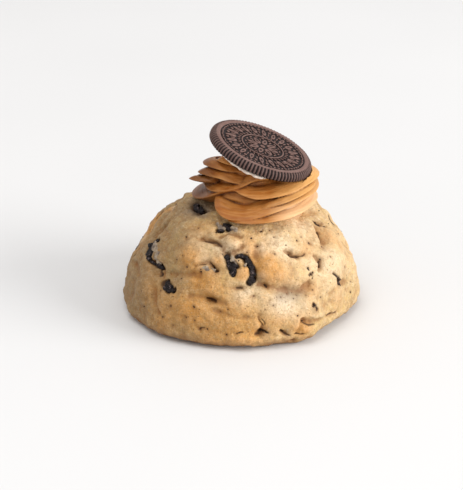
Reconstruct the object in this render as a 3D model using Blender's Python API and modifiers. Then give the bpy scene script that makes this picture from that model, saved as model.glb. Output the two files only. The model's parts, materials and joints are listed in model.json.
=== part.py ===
"""A loaded cookie: a tall lumpy cookie with biscuit chunks, a piped icing swirl and a fluted wafer.

Metres, +Z up. The origin is the middle of the flat underside. The swirl's own axis stands
a little to the right of it, and the wafer leans to the right on top of the swirl.
"""

import math
import random

import bmesh
import bpy
import numpy as np
from mathutils import Matrix, Vector, noise

MM = 0.001
GAP = 0.3 * MM

# Cookie: an egg-like dome over a tucked-in foot, measured from a core point above the table
COOKIE_WIDTH = 99.2 * MM
COOKIE_DEPTH = 97.0 * MM
COOKIE_HEIGHT = 51.0 * MM
CORE_HEIGHT = 7.0 * MM
FOOT_DROP = 12.0 * MM
DOME_POWER = 1.95
DOME_LEAN = 0.12
FOOT_POWER = 2.45
COOKIE_ROUNDS = 6
COOKIE_FACES = 4600
LUMP_CURVE = 32.0 * MM
LUMP_SHARPNESS = 1.7 / MM
LUMP_SPACING = 15.0 * MM
FOOT_BLEND = 0.3
MEAN_RISE = 1.0 * MM
BACK_LUMPS = 46
BACK_LUMP_RISE = (0.2 * MM, 1.5 * MM)
BROAD_SWELL, BROAD_SIZE = 0.9, 17 * MM
FINE_SWELL, FINE_SIZE = 0.35, 6.5 * MM

# Lumps of the baked face that shows: azimuth and elevation seen from the core, rise in mm
LUMPS = (
    (226, 49, 0.5), (242, 36, 0.9), (286, 31, 1.7), (246, 12, 1.1), (254, 25, 0.4),
    (304, 46, 0.9), (341, 32, 1.0), (322, 14, 0.8), (267, 13, 0.7), (284, 13, 0.5),
    (304, 0, 1.6), (212, 11, 0.5), (326, 27, 0.6), (268, 46, 0.5), (197, 34, 0.8),
    (229, 4, 0.4), (302, 27, 0.5), (350, 12, 0.7), (190, 14, 0.6), (268, 30, 0.6),
)

# Valleys between lumps: width and depth in mm, then azimuth and elevation along the valley
VALLEYS = (
    (2.6, 1.3, ((158, 54), (177, 49), (184, 43), (194, 38))),
    (1.2, 1.3, ((240, 47), (250, 46), (258, 44))),
    (1.0, 1.5, ((319, 32), (320, 28), (317, 25))),
    (1.2, 1.1, ((300, 39), (306, 35), (312, 36))),
    (3.0, 1.4, ((347, 44), (341, 39), (336, 35))),
    (3.2, 1.2, ((283, 24), (293, 20), (305, 18))),
    (1.3, 1.4, ((296, -6), (298, 1), (300, 4), (305, 3), (311, 2))),
    (0.9, 1.0, ((278, 9), (280, 3), (280, 0))),
    (1.0, 1.3, ((209, 27), (218, 25), (221, 21))),
    (1.2, 1.0, ((242, 32), (248, 35), (256, 32))),
    (1.6, 1.0, ((264, 23), (272, 24), (282, 24))),
)

# Single dents, or bulges where the depth is negative: azimuth, elevation, radius and depth in mm
DENTS = (
    (253, 17, 2.4, 2.4), (341, 39, 5.0, 1.0), (300, 4, 1.6, 1.2), (133, 38, 12.0, 2.8),
    (279, 1, 2.2, 1.3), (291, 0, 2.0, 1.2), (319, -12, 8.5, 6.5), (286, -14, 7.0, 1.6),
    (218, -10, 17.0, -1.5), (303, -7, 7.0, -1.0), (24, 43, 9.0, -2.9), (21, 19, 9.0, 2.2),
    (345, 30, 8.0, 0.8), (336, -11, 9.0, 3.4), (250, -11, 26.0, 1.0), (185, 50, 9.0, 0.8),
)

# Biscuit chunks: azimuth, elevation, length, width, thickness in mm, turn in degrees
CHUNKS = (
    (204, 30, 9.0, 5.4, 4.2, -6), (226.5, 18, 6.2, 6.6, 4.2, 35), (262.6, 35, 9.2, 4.4, 4.0, 14),
    (256.5, 55.5, 7.4, 4.8, 3.6, -20), (204, 61, 7.6, 6.4, 4.2, 50), (18, 26, 8.0, 5.6, 4.2, 70),
    (52, 41, 8.8, 5.0, 4.2, -30), (88, 21, 6.6, 5.6, 4.2, 10), (112, 48, 7.4, 5.0, 4.0, 55),
    (141, 29, 8.6, 5.4, 4.2, -12), (168, 14, 6.4, 5.0, 4.0, 80),
)
HOOK_ROUTE = ((269.6, 38.2), (273, 38), (276.3, 34.2), (277.2, 30), (274, 25.2))
HOOK_HALF_WIDTH = 1.45 * MM
HOOK_SIDES = 7
HOOK_POCKET = (274.5, 32, 11.0)
CHUNK_PROUD = 0.9 * MM
POCKET_DEPTH = 1.2 * MM
BLOCKINESS = 0.45
BREAKAGE = 0.45

# Small dark crumbs of the same biscuit, baked in: azimuth, elevation, length in mm, turn
CRUMBS = (
    (253, 33, 4.4, 20), (246, 31, 2.6, 60), (328, 16, 5.8, 25), (310, 28, 2.6, 30),
    (311, 24, 3.0, 60), (268, 2, 3.2, 70), (280, 0, 3.4, 80), (307, 10, 2.8, -40),
    (219, 25, 2.8, 40), (301, 42, 2.4, 0), (292, 0, 2.6, 60),
)
BACK_CRUMBS = 12
BACK_CRUMB_TURN = 16.5
CRUMB_THICKNESS = 3.0 * MM
CRUMB_SUNK = 0.8 * MM
CRUMB_CLEARANCE = 7.5 * MM

# Icing: a round trunk under three piped ridges that climb counter-clockwise
SWIRL_AXIS = Vector((5.4 * MM, 0, 0))
TRUNK = ((0.0, 36.0), (20.4, 36.0), (20.4, 42.0), (19.0, 46.5), (17.0, 50.5), (15.0, 54.0),
         (13.6, 58.0), (10.5, 62.0), (8.5, 68.0), (0.0, 69.0))
RIDGE_STEP = 5.0
SWIRL_VOXEL = 0.62 * MM
SWIRL_FACES = 2700

# Ridge section, crest first: radial and upward distance in units of the ridge's size
RIDGE_SECTION = ((0.0, 0.0), (-0.6, 0.6), (-1.9, 1.35), (-3.6, 2.2), (-6.0, 3.1), (-10.0, 3.4),
                 (-10.0, -2.6), (-5.2, -1.9), (-2.3, -1.1), (-0.8, -0.6))

# Ridge crests: angle counter-clockwise from +X, radius and height in mm, size
OUTER_RIDGE = (
    (243, 23.5, 44.0, 0.35), (262, 26.2, 44.9, 0.6), (290, 26.4, 45.6, 0.7), (312, 26.0, 46.2, 0.7),
    (335, 25.6, 46.8, 0.8), (365, 25.5, 46.2, 0.9), (405, 25.2, 45.6, 1.0), (470, 25.2, 45.2, 1.05),
    (520, 25.6, 45.6, 1.1),
    (541, 24.9, 46.2, 1.15), (553, 23.4, 47.0, 1.1), (566, 21.5, 49.0, 0.95), (582, 18.4, 52.2, 0.75),
    (602, 17.8, 54.4, 0.65), (612, 19.2, 54.1, 0.7), (630, 21.2, 53.2, 0.8), (648, 21.7, 53.5, 0.85),
    (668, 22.7, 54.3, 0.85), (684, 23.8, 55.4, 0.85), (698, 25.2, 56.2, 0.8), (714, 25.9, 56.0, 0.8),
    (735, 25.8, 55.2, 0.8), (765, 24.8, 54.2, 0.85), (810, 23.4, 53.8, 0.8), (850, 22.0, 53.6, 0.7),
    (880, 21.4, 54.8, 0.6), (895, 21.8, 56.2, 0.6), (905, 22.6, 57.0, 0.65), (913, 22.4, 57.7, 0.7),
    (925, 19.6, 57.6, 0.8), (939, 17.9, 57.8, 0.85), (958, 16.8, 57.2, 0.8),
    (975, 15.8, 57.4, 0.7), (1000, 14.0, 58.2, 0.5),
)
BROAD_RIDGE = (
    (214, 18.5, 50.0, 0.4), (222, 21.4, 48.4, 0.7), (230, 23.3, 46.7, 0.95), (243, 24.8, 45.3, 1.15),
    (258, 25.0, 45.6, 1.2), (274, 24.8, 47.0, 1.15), (292, 24.9, 49.0, 1.1), (318, 25.5, 51.2, 1.0),
    (345, 25.9, 51.6, 0.95), (405, 25.6, 51.6, 0.95), (450, 24.6, 51.2, 0.95), (500, 23.2, 51.6, 0.8),
    (530, 23.8, 52.6, 0.6), (540, 25.0, 53.4, 0.45), (547, 26.3, 54.6, 0.35), (553, 24.4, 54.6, 0.45),
    (562, 19.5, 55.0, 0.5),
)
INNER_RIDGE = (
    (505, 20.5, 50.5, 0.5), (530, 20.6, 51.3, 0.8), (547, 20.3, 51.9, 0.95), (562, 19.9, 51.6, 0.95),
    (578, 19.2, 52.6, 0.85), (594, 18.3, 54.0, 0.8), (614, 17.8, 56.8, 0.8), (633, 18.2, 58.9, 0.8),
    (645, 19.0, 59.3, 0.8), (665, 20.2, 58.0, 0.8), (690, 21.2, 56.6, 0.8), (720, 21.0, 55.4, 0.8),
    (765, 20.4, 55.4, 0.7), (810, 19.4, 55.8, 0.6), (850, 18.6, 57.0, 0.5), (878, 19.4, 59.0, 0.5),
    (895, 20.4, 60.2, 0.5), (911, 20.4, 60.8, 0.55), (922, 18.6, 60.9, 0.5), (938, 16.0, 60.6, 0.5),
    (965, 12.0, 60.0, 0.45), (1020, 13.0, 59.5, 0.5), (1060, 13.6, 59.2, 0.55), (1100, 14.4, 59.6, 0.6),
    (1140, 15.4, 60.6, 0.65), (1180, 15.2, 61.8, 0.65), (1220, 13.6, 63.0, 0.6), (1250, 11.0, 64.0, 0.5),
)

# Wafer: round, fluted, leaning to the right, with a thin layer of cream under it
WAFER_CENTRE = Vector((7.4 * MM, 0, 63.9 * MM))
WAFER_NORMAL = Vector((0.350, -0.070, 0.934)).normalized()
WAFER_RADIUS = 21.4 * MM
WAFER_TOP_RADIUS = 19.7 * MM
WAFER_THICKNESS = 3.6 * MM
WAFER_FLUTES = 90
FLUTE_DEPTH = 0.45 * MM
RELIEF = 0.45 * MM
PANEL_RADIUS = 17.7 * MM
MOTIF_TOP = WAFER_THICKNESS - 0.02 * MM
MOTIF_ROOT = WAFER_THICKNESS - RELIEF - GAP
PETALS, PETAL_LENGTH, PETAL_WIDTH, PETAL_REACH = 8, 4.6 * MM, 2.2 * MM, 4.4 * MM
LEAVES, LEAF_LENGTH, LEAF_WIDTH, LEAF_REACH = 16, 5.2 * MM, 2.0 * MM, 13.6 * MM
LEAF_SIDES = 6
HOOP_RADIUS, HOOP_WIDTH, HOOP_SIDES = 8.4 * MM, 0.8 * MM, 32
CREAM_RADIUS = 19.5 * MM
CREAM_THICKNESS = 1.1 * MM
CREAM_SIDES = 48
SQUEEZE_ANGLE, SQUEEZE_SPREAD = math.radians(208), 0.32

TAN = (0.72, 0.48, 0.25, 1)
CARAMEL = (0.72, 0.36, 0.11, 1)
DARK = (0.045, 0.032, 0.028, 1)
CREAM = (0.86, 0.80, 0.72, 1)


def clear_scene():
    for obj in list(bpy.data.objects):
        bpy.data.objects.remove(obj, do_unlink=True)


def new_collection(name):
    collection = bpy.data.collections.new(name)
    bpy.context.scene.collection.children.link(collection)
    return collection


def new_material(name, color, roughness):
    material = bpy.data.materials.new(name)
    material.use_nodes = True
    shader = material.node_tree.nodes["Principled BSDF"]
    shader.inputs["Base Color"].default_value = color
    shader.inputs["Roughness"].default_value = roughness
    shader.inputs["Metallic"].default_value = 0.0
    return material


def add_object(name, form, collection, material=None):
    """Turns a bmesh into an object of the collection."""
    mesh = bpy.data.meshes.new(name)
    bmesh.ops.recalc_face_normals(form, faces=form.faces)
    form.to_mesh(mesh)
    form.free()
    obj = bpy.data.objects.new(name, mesh)
    collection.objects.link(obj)
    if material:
        mesh.materials.append(material)
    return obj


def apply_modifiers(obj):
    graph = bpy.context.evaluated_depsgraph_get()
    graph.update()
    mesh = bpy.data.meshes.new_from_object(obj.evaluated_get(graph))
    old = obj.data
    obj.modifiers.clear()
    obj.data = mesh
    mesh.name = obj.name
    bpy.data.meshes.remove(old)


def decimate(obj, faces):
    """Fewer triangles, kept where the surface bends most."""
    modifier = obj.modifiers.new("Fewer faces", "DECIMATE")
    modifier.ratio = min(1.0, faces / sum(len(face.vertices) - 2 for face in obj.data.polygons))
    modifier.use_collapse_triangulate = True
    apply_modifiers(obj)


def boolean(obj, operation, others, solver="EXACT"):
    """Joins or cuts the object by a collection of others, which is then removed."""
    modifier = obj.modifiers.new(operation.title(), "BOOLEAN")
    modifier.operation = operation
    modifier.operand_type = "COLLECTION"
    modifier.collection = others
    modifier.solver = solver
    apply_modifiers(obj)
    for other in list(others.objects):
        bpy.data.objects.remove(other, do_unlink=True)


def keep_largest(obj):
    """Drops loose scraps that a cut leaves."""
    form = bmesh.new()
    form.from_mesh(obj.data)
    left = set(form.verts)
    bodies = []
    while left:
        body = {left.pop()}
        edge_of_body = set(body)
        while edge_of_body:
            edge_of_body = {e.other_vert(v) for v in edge_of_body for e in v.link_edges} - body
            body |= edge_of_body
        left -= body
        bodies.append(body)
    bodies.sort(key=len)
    for body in bodies[:-1]:
        bmesh.ops.delete(form, geom=list(body), context="VERTS")
    form.to_mesh(obj.data)
    form.free()


def grown_copy(name, obj, distance, collection):
    """A copy swollen along its normals, to cut room for the piece in a neighbour."""
    form = bmesh.new()
    form.from_mesh(obj.data)
    form.normal_update()
    moves = [vert.normal * distance for vert in form.verts]
    for vert, move in zip(form.verts, moves):
        vert.co += move
    return add_object(name, form, collection)


def smooth_path(points, step):
    """A smooth curve through rows of numbers, read every step of the first column."""
    rows = np.array(points, float)
    ends = np.vstack([2 * rows[0] - rows[1], rows, 2 * rows[-1] - rows[-2]])
    read = []
    for before, start, end, after in zip(ends, ends[1:], ends[2:], ends[3:]):
        count = max(1, math.ceil((end[0] - start[0]) / step))
        for t in np.arange(count) / count:
            bend = (-before + 3 * start - 3 * end + after) * t ** 3
            bend += (2 * before - 5 * start + 4 * end - after) * t ** 2
            read.append(0.5 * (bend + (end - before) * t + 2 * start))
    read.append(rows[-1])
    return np.array(read)


def loft(form, rings):
    """Skins closed rings of points and caps both ends."""
    rows = [[form.verts.new(point) for point in ring] for ring in rings]
    for low, high in zip(rows, rows[1:]):
        for i in range(len(low)):
            j = (i + 1) % len(low)
            form.faces.new((low[i], low[j], high[j], high[i]))
    form.faces.new(rows[0][::-1])
    form.faces.new(rows[-1])


# The dough's surface, as a distance from the core in each direction

def direction(azimuth, elevation):
    a, e = math.radians(azimuth), math.radians(elevation)
    return np.array([math.cos(e) * math.cos(a), math.cos(e) * math.sin(a), math.sin(e)])


def dome_radius(rays):
    """Distance from the core to the plain dome."""
    across = np.hypot(rays[:, 0] / (COOKIE_WIDTH / 2), rays[:, 1] / (COOKIE_DEPTH / 2))
    upper = rays[:, 2] > 0
    reach = np.where(upper, COOKIE_HEIGHT - CORE_HEIGHT, FOOT_DROP)
    power = np.where(upper, DOME_POWER + DOME_LEAN * rays[:, 0], FOOT_POWER)
    return (across ** power + (abs(rays[:, 2]) / reach) ** power) ** (-1 / power)


def dome_point(azimuth, elevation):
    ray = direction(azimuth, elevation)
    return ray * dome_radius(ray[None])[0]


def lump_table():
    """The lumps that show, and others spread by the golden angle where none of those is near."""
    draw = random.Random(11)
    table = [(*dome_point(azimuth, elevation), rise * MM) for azimuth, elevation, rise in LUMPS]
    for i in range(BACK_LUMPS):
        elevation = math.degrees(math.asin(-0.1 + 1.05 * (i + 0.5) / BACK_LUMPS))
        point = dome_point(137.5 * i + draw.uniform(-8, 8), elevation)
        if min(math.dist(point, lump[:3]) for lump in table) > LUMP_SPACING:
            table.append((*point, draw.uniform(*BACK_LUMP_RISE)))
    return np.array(table)


def distance_to_route(points, route):
    """Distance from each point to a line through the route's points."""
    nearest = np.full(len(points), 1.0)
    for start, end in zip(route, route[1:]):
        along = end - start
        t = np.clip((points - start) @ along / (along @ along), 0, 1)
        nearest = np.minimum(nearest, np.linalg.norm(points - start - t[:, None] * along, axis=1))
    return nearest


def chunk_places():
    """Centre of each chunk's pocket on the dome, and the pocket's radius."""
    return [(dome_point(a, e), length / 2 * MM) for a, e, length, *_ in (*CHUNKS, HOOK_POCKET)]


def unevenness(point):
    """Soft irregular swell of the dough, then finer puckers."""
    broad = noise.noise(point / BROAD_SIZE) * BROAD_SWELL
    fine = noise.noise(point / FINE_SIZE + Vector((5, 1, 3))) * FINE_SWELL
    return (broad + fine) * MM


def dough_radius(rays):
    """Distance from the core to the baked surface."""
    points = rays * dome_radius(rays)[:, None]
    lumps = lump_table()
    rises = [lump[3] - ((points - lump[:3]) ** 2).sum(1) / (2 * LUMP_CURVE) for lump in lumps]
    rise = np.log(np.exp(LUMP_SHARPNESS * np.array(rises)).sum(0)) / LUMP_SHARPNESS
    above_foot = np.clip((rays[:, 2] + 0.12) / FOOT_BLEND, 0, 1)
    radius = dome_radius(rays) + (rise - MEAN_RISE) * above_foot ** 2 * (3 - 2 * above_foot)
    for width, depth, route in VALLEYS:
        route = [dome_point(*place) for place in route]
        radius -= depth * MM * np.exp(-(distance_to_route(points, route) / (width * MM)) ** 2)
    for azimuth, elevation, reach, depth in DENTS:
        away = np.linalg.norm(points - dome_point(azimuth, elevation), axis=1)
        radius -= depth * MM * np.exp(-(away / (reach * MM)) ** 2)
    for place, reach in chunk_places():
        away = np.linalg.norm(points - place, axis=1)
        radius -= POCKET_DEPTH * np.exp(-(away / (reach + POCKET_DEPTH)) ** 4)
    return radius + np.array([unevenness(Vector(point)) for point in points])


def dough_point(azimuth, elevation):
    ray = direction(azimuth, elevation)
    return Vector(ray * dough_radius(ray[None])[0]) + Vector((0, 0, CORE_HEIGHT))


def surface_frame(azimuth, elevation):
    """A matrix on the baked surface: X level, Y up the slope, Z out of the dough."""
    origin = dough_point(azimuth, elevation)
    level = Vector(dome_point(azimuth + 2, elevation) - dome_point(azimuth - 2, elevation))
    slope = Vector(dome_point(azimuth, elevation + 2) - dome_point(azimuth, elevation - 2))
    out = level.cross(slope).normalized()
    level.normalize()
    turned = Matrix((level, out.cross(level), out)).transposed()
    return Matrix.Translation(origin) @ turned.to_4x4()


def make_cookie(collection, material):
    form = bmesh.new()
    bmesh.ops.create_icosphere(form, subdivisions=COOKIE_ROUNDS, radius=1)
    rays = np.array([vert.co.normalized() for vert in form.verts])
    radii = dough_radius(rays)
    for vert, ray, radius in zip(form.verts, rays, radii):
        vert.co = Vector(ray * radius) + Vector((0, 0, CORE_HEIGHT))
    cookie = add_object("cookie", form, collection, material)
    decimate(cookie, COOKIE_FACES)
    cut_flat(cookie)
    return cookie


def cut_flat(cookie):
    """Cuts the ball of dough level with the table and closes its underside."""
    form = bmesh.new()
    form.from_mesh(cookie.data)
    everything = form.verts[:] + form.edges[:] + form.faces[:]
    cut = bmesh.ops.bisect_plane(
        form, geom=everything, dist=1e-7, plane_co=(0, 0, 0), plane_no=(0, 0, -1), clear_outer=True)
    rim = [part for part in cut["geom_cut"] if isinstance(part, bmesh.types.BMEdge)]
    bmesh.ops.contextual_create(form, geom=rim)
    form.to_mesh(cookie.data)
    form.free()


def crumb_form(size, seed, rounds):
    """A broken bit of biscuit: a ball pushed towards a block, with uneven faces."""
    form = bmesh.new()
    bmesh.ops.create_icosphere(form, subdivisions=rounds, radius=1)
    for vert in form.verts:
        block = max(abs(vert.co.x), abs(vert.co.y), abs(vert.co.z))
        vert.co = vert.co.lerp(vert.co / block, BLOCKINESS)
        uneven = 1 + BREAKAGE * noise.noise(vert.co * 1.1 + Vector((seed * 7.3, 0, 0)))
        vert.co = Vector(a * b / 2 for a, b in zip(vert.co * uneven, size))
    return form


def make_chunks(collection, material):
    chunks = []
    for i, (azimuth, elevation, length, width, thickness, turn) in enumerate(CHUNKS):
        form = crumb_form((width * MM, length * MM, thickness * MM), i, 2)
        sunk = Matrix.Translation((0, 0, CHUNK_PROUD - thickness * MM / 2))
        spin = Matrix.Rotation(math.radians(turn), 4, "Z")
        form.transform(surface_frame(azimuth, elevation) @ sunk @ spin)
        chunks.append(add_object(f"chunk_{i + 1}", form, collection, material))
    chunks.append(make_hook_chunk(f"chunk_{len(CHUNKS) + 1}", collection, material))
    return chunks


def make_hook_chunk(name, collection, material):
    """A curved shard that lies in the dough like a hook."""
    form = bmesh.new()
    rings = []
    route = smooth_path([(i, *place) for i, place in enumerate(HOOK_ROUTE)], 1 / 3)[:, 1:]
    last = len(route) - 1
    for i, place in enumerate(route):
        half = HOOK_HALF_WIDTH * (0.55 if i in (0, last) else 0.9 + 0.2 * math.sin(2.3 * i))
        along = dough_point(*route[min(i + 1, last)]) - dough_point(*route[max(i - 1, 0)])
        out = surface_frame(*place).col[2].xyz
        deep = out * 1.3 * half
        side = out.cross(along.normalized()).normalized() * half
        centre = dough_point(*place) + out * CHUNK_PROUD - deep
        angles = [math.tau * k / HOOK_SIDES for k in range(HOOK_SIDES)]
        rings.append([centre + side * math.cos(a) + deep * math.sin(a) for a in angles])
    loft(form, rings)
    return add_object(name, form, collection, material)


def make_crumbs(collection):
    """Small dark bits on the dough, half sunk."""
    draw = random.Random(6)
    places = list(CRUMBS)
    taken = [place for place, _ in chunk_places()]
    for i in range(BACK_CRUMBS):
        azimuth, elevation = BACK_CRUMB_TURN * i - 10, draw.uniform(4, 50)
        length, turn = draw.uniform(2.2, 4), draw.uniform(0, 90)
        if min(math.dist(dome_point(azimuth, elevation), place) for place in taken) > CRUMB_CLEARANCE:
            places.append((azimuth, elevation, length, turn))
    for i, (azimuth, elevation, length, turn) in enumerate(places):
        form = crumb_form((length * 0.42 * MM, length * MM, CRUMB_THICKNESS), 20 + i, 1)
        sunk = Matrix.Translation((0, 0, -CRUMB_SUNK))
        spin = Matrix.Rotation(math.radians(turn), 4, "Z")
        form.transform(surface_frame(azimuth, elevation) @ sunk @ spin)
        add_object(f"crumb_{i + 1}", form, collection)


def make_trunk(collection):
    """The plain inside of the swirl, a turned profile."""
    form = bmesh.new()
    points = [form.verts.new((x * MM, 0, z * MM)) for x, z in reversed(TRUNK)]
    for low, high in zip(points, points[1:]):
        form.edges.new((low, high))
    trunk = add_object("trunk", form, collection)
    screw = trunk.modifiers.new("Turn", "SCREW")
    screw.steps = 48
    screw.render_steps = 48
    screw.use_merge_vertices = True
    screw.merge_threshold = 0.00001
    trunk.location = SWIRL_AXIS
    return trunk


def add_ridge(form, crest):
    """One piped ridge: its section swept along the crest, upright in the plane of the axis."""
    rings = []
    for angle, radius, height, size in smooth_path(crest, RIDGE_STEP):
        a = math.radians(angle)
        outward = Vector((math.cos(a), math.sin(a), 0))
        root = SWIRL_AXIS + outward * radius * MM + Vector((0, 0, height * MM))
        ring = []
        for away, up in RIDGE_SECTION:
            inward = max(away * size, 6 - radius)
            ring.append(root + outward * inward * MM + Vector((0, 0, up * size * MM)))
        rings.append(ring)
    loft(form, rings)


def make_swirl(collection, scrap, material):
    """The ridges and the trunk, melted into one skin."""
    trunk = make_trunk(scrap)
    apply_modifiers(trunk)
    trunk.data.transform(trunk.matrix_basis)
    form = bmesh.new()
    form.from_mesh(trunk.data)
    bpy.data.objects.remove(trunk, do_unlink=True)
    for crest in (OUTER_RIDGE, BROAD_RIDGE, INNER_RIDGE):
        add_ridge(form, crest)
    swirl = add_object("icing_swirl", form, collection, material)
    remesh = swirl.modifiers.new("One skin", "REMESH")
    remesh.mode = "VOXEL"
    remesh.voxel_size = SWIRL_VOXEL
    smooth = swirl.modifiers.new("Soften", "SMOOTH")
    smooth.factor = 0.5
    smooth.iterations = 2
    apply_modifiers(swirl)
    decimate(swirl, SWIRL_FACES)
    return swirl


def wafer_matrix():
    turned = WAFER_NORMAL.to_track_quat("Z", "Y").to_matrix().to_4x4()
    return Matrix.Translation(WAFER_CENTRE) @ turned


def disc_tool(name, radius, low, high, collection):
    """A plain cutter in the wafer's own plane, from one height over it to another."""
    form = bmesh.new()
    bmesh.ops.create_cone(
        form, cap_ends=True, segments=64, radius1=radius, radius2=radius, depth=high - low)
    form.transform(wafer_matrix() @ Matrix.Translation((0, 0, (low + high) / 2)))
    return add_object(name, form, collection)


def level_ring(radii, height):
    """Points round the wafer's own axis, one for each radius."""
    angles = [math.tau * i / len(radii) for i in range(len(radii))]
    return [Vector((r * math.cos(a), r * math.sin(a), height)) for r, a in zip(radii, angles)]


def make_wafer(collection, scrap, material):
    """A disc with a fluted, bevelled side, a sunk panel and raised motifs in it."""
    form = bmesh.new()
    levels = ((WAFER_RADIUS, 0.0, 0.6), (WAFER_RADIUS, 1.4 * MM, 1.0),
              (WAFER_TOP_RADIUS + 0.7 * MM, WAFER_THICKNESS - 0.3 * MM, 1.0),
              (WAFER_TOP_RADIUS, WAFER_THICKNESS, 0.0))
    loft(form, [level_ring([radius, radius - FLUTE_DEPTH * share] * WAFER_FLUTES, height)
                for radius, height, share in levels])
    form.transform(wafer_matrix())
    wafer = add_object("wafer", form, collection, material)
    disc_tool("panel", PANEL_RADIUS, WAFER_THICKNESS - RELIEF, WAFER_THICKNESS + MM, scrap)
    boolean(wafer, "DIFFERENCE", scrap)
    add_motifs(scrap)
    boolean(wafer, "UNION", scrap)
    return wafer


def add_prism(outline, collection, name):
    """A raised motif on the wafer's panel: an outline of (x, y), sunk a little for the union."""
    form = bmesh.new()
    loft(form, [[(x, y, z) for x, y in outline] for z in (MOTIF_ROOT, MOTIF_TOP)])
    form.transform(wafer_matrix())
    add_object(name, form, collection)


def leaf(length, width, reach, angle):
    """A leaf outline that points away from the centre."""
    points = []
    for i in range(LEAF_SIDES):
        t = math.tau * i / LEAF_SIDES
        x = reach + length / 2 * math.cos(t)
        y = width / 2 * math.sin(t) * (1 - 0.35 * math.cos(t))
        points.append((x * math.cos(angle) - y * math.sin(angle), x * math.sin(angle) + y * math.cos(angle)))
    return points


def add_hoop(collection):
    """A raised hoop round the panel's centre."""
    form = bmesh.new()
    inner, outer = HOOP_RADIUS, HOOP_RADIUS + HOOP_WIDTH
    section = ((inner, MOTIF_ROOT), (outer, MOTIF_ROOT), (outer, MOTIF_TOP), (inner, MOTIF_TOP))
    rows = []
    for radius, height in section:
        rows.append([form.verts.new(point) for point in level_ring([radius] * HOOP_SIDES, height)])
    for row, following in zip(rows, rows[1:] + rows[:1]):
        for i in range(HOOP_SIDES):
            j = (i + 1) % HOOP_SIDES
            form.faces.new((row[i], row[j], following[j], following[i]))
    form.transform(wafer_matrix())
    add_object("hoop", form, collection)


def add_motifs(collection):
    """A rosette, a hoop and a wreath of leaves."""
    for i in range(PETALS):
        petal = leaf(PETAL_LENGTH, PETAL_WIDTH, PETAL_REACH, math.tau * i / PETALS)
        add_prism(petal, collection, f"petal_{i + 1}")
    add_hoop(collection)
    for i in range(LEAVES):
        outline = leaf(LEAF_LENGTH, LEAF_WIDTH, LEAF_REACH, math.tau * (i + 0.5) / LEAVES)
        add_prism(outline, collection, f"leaf_{i + 1}")


def make_cream(collection, material):
    """A thin uneven layer under the wafer, fuller where it squeezes out at the left."""
    form = bmesh.new()
    top, bottom, inner = [], [], []
    for i in range(CREAM_SIDES):
        angle = math.tau * i / CREAM_SIDES
        ray = Vector((math.cos(angle), math.sin(angle), 0))
        squeeze = math.exp(-((angle - SQUEEZE_ANGLE) / SQUEEZE_SPREAD) ** 2)
        reach = CREAM_RADIUS * (1 + 0.025 * noise.noise(ray * 4.1)) + 0.3 * MM * squeeze
        thick = CREAM_THICKNESS * (1 + 0.25 * noise.noise(ray * 3)) + 0.9 * MM * squeeze
        top.append(ray * reach + Vector((0, 0, -GAP)))
        bottom.append(ray * (reach - 0.4 * MM) + Vector((0, 0, -GAP - thick)))
        inner.append(ray * 0.8 * reach + Vector((0, 0, -GAP - CREAM_THICKNESS)))
    loft(form, [inner, bottom, top])
    form.transform(wafer_matrix())
    return add_object("cream", form, collection, material)


def cut_swirl(swirl, cookie_tool, cream, scrap):
    """Makes room in the icing for the dough under it and the wafer and cream on it."""
    scrap.objects.link(cookie_tool)
    grown_copy("cream_room", cream, GAP, scrap)
    disc_tool("wafer_room", WAFER_RADIUS + GAP, -GAP, COOKIE_HEIGHT / 2, scrap)
    boolean(swirl, "DIFFERENCE", scrap)
    keep_largest(swirl)


def main():
    clear_scene()
    parts = new_collection("loaded_cookie")
    cutters = new_collection("cutters")
    dough = new_material("dough", TAN, 0.75)
    icing = new_material("icing", CARAMEL, 0.45)
    biscuit = new_material("dark_biscuit", DARK, 0.7)
    filling = new_material("filling", CREAM, 0.6)

    cookie = make_cookie(parts, dough)
    cookie_tool = grown_copy("cookie_room", cookie, GAP + 0.05 * MM, cutters)
    cutters.objects.unlink(cookie_tool)
    chunks = make_chunks(parts, biscuit)
    for chunk in chunks:
        grown_copy(chunk.name + "_room", chunk, GAP, cutters)
    boolean(cookie, "DIFFERENCE", cutters, "MANIFOLD")
    make_crumbs(cutters)
    boolean(cookie, "UNION", cutters, "MANIFOLD")
    keep_largest(cookie)

    make_wafer(parts, cutters, biscuit)
    cream = make_cream(parts, filling)
    swirl = make_swirl(parts, cutters, icing)
    cut_swirl(swirl, cookie_tool, cream, cutters)


main()
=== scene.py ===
# %% [markdown]
# # A loaded cookie
# A tall, soft-baked cookie with bits of dark sandwich biscuit, a piped caramel swirl and a
# whole fluted wafer on top. The solids of the part are loaded first. Each later cell builds one
# visible piece in the same place, with the finer shape and the finish that the solids leave out.
# Everything is in metres, and the flat underside of the cookie rests on the floor at z = 0.

# %% Load the solids
import json
import math
import random

import bmesh
import bpy
import numpy as np
from mathutils import Euler, Matrix, Vector, noise
from mathutils.bvhtree import BVHTree

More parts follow.
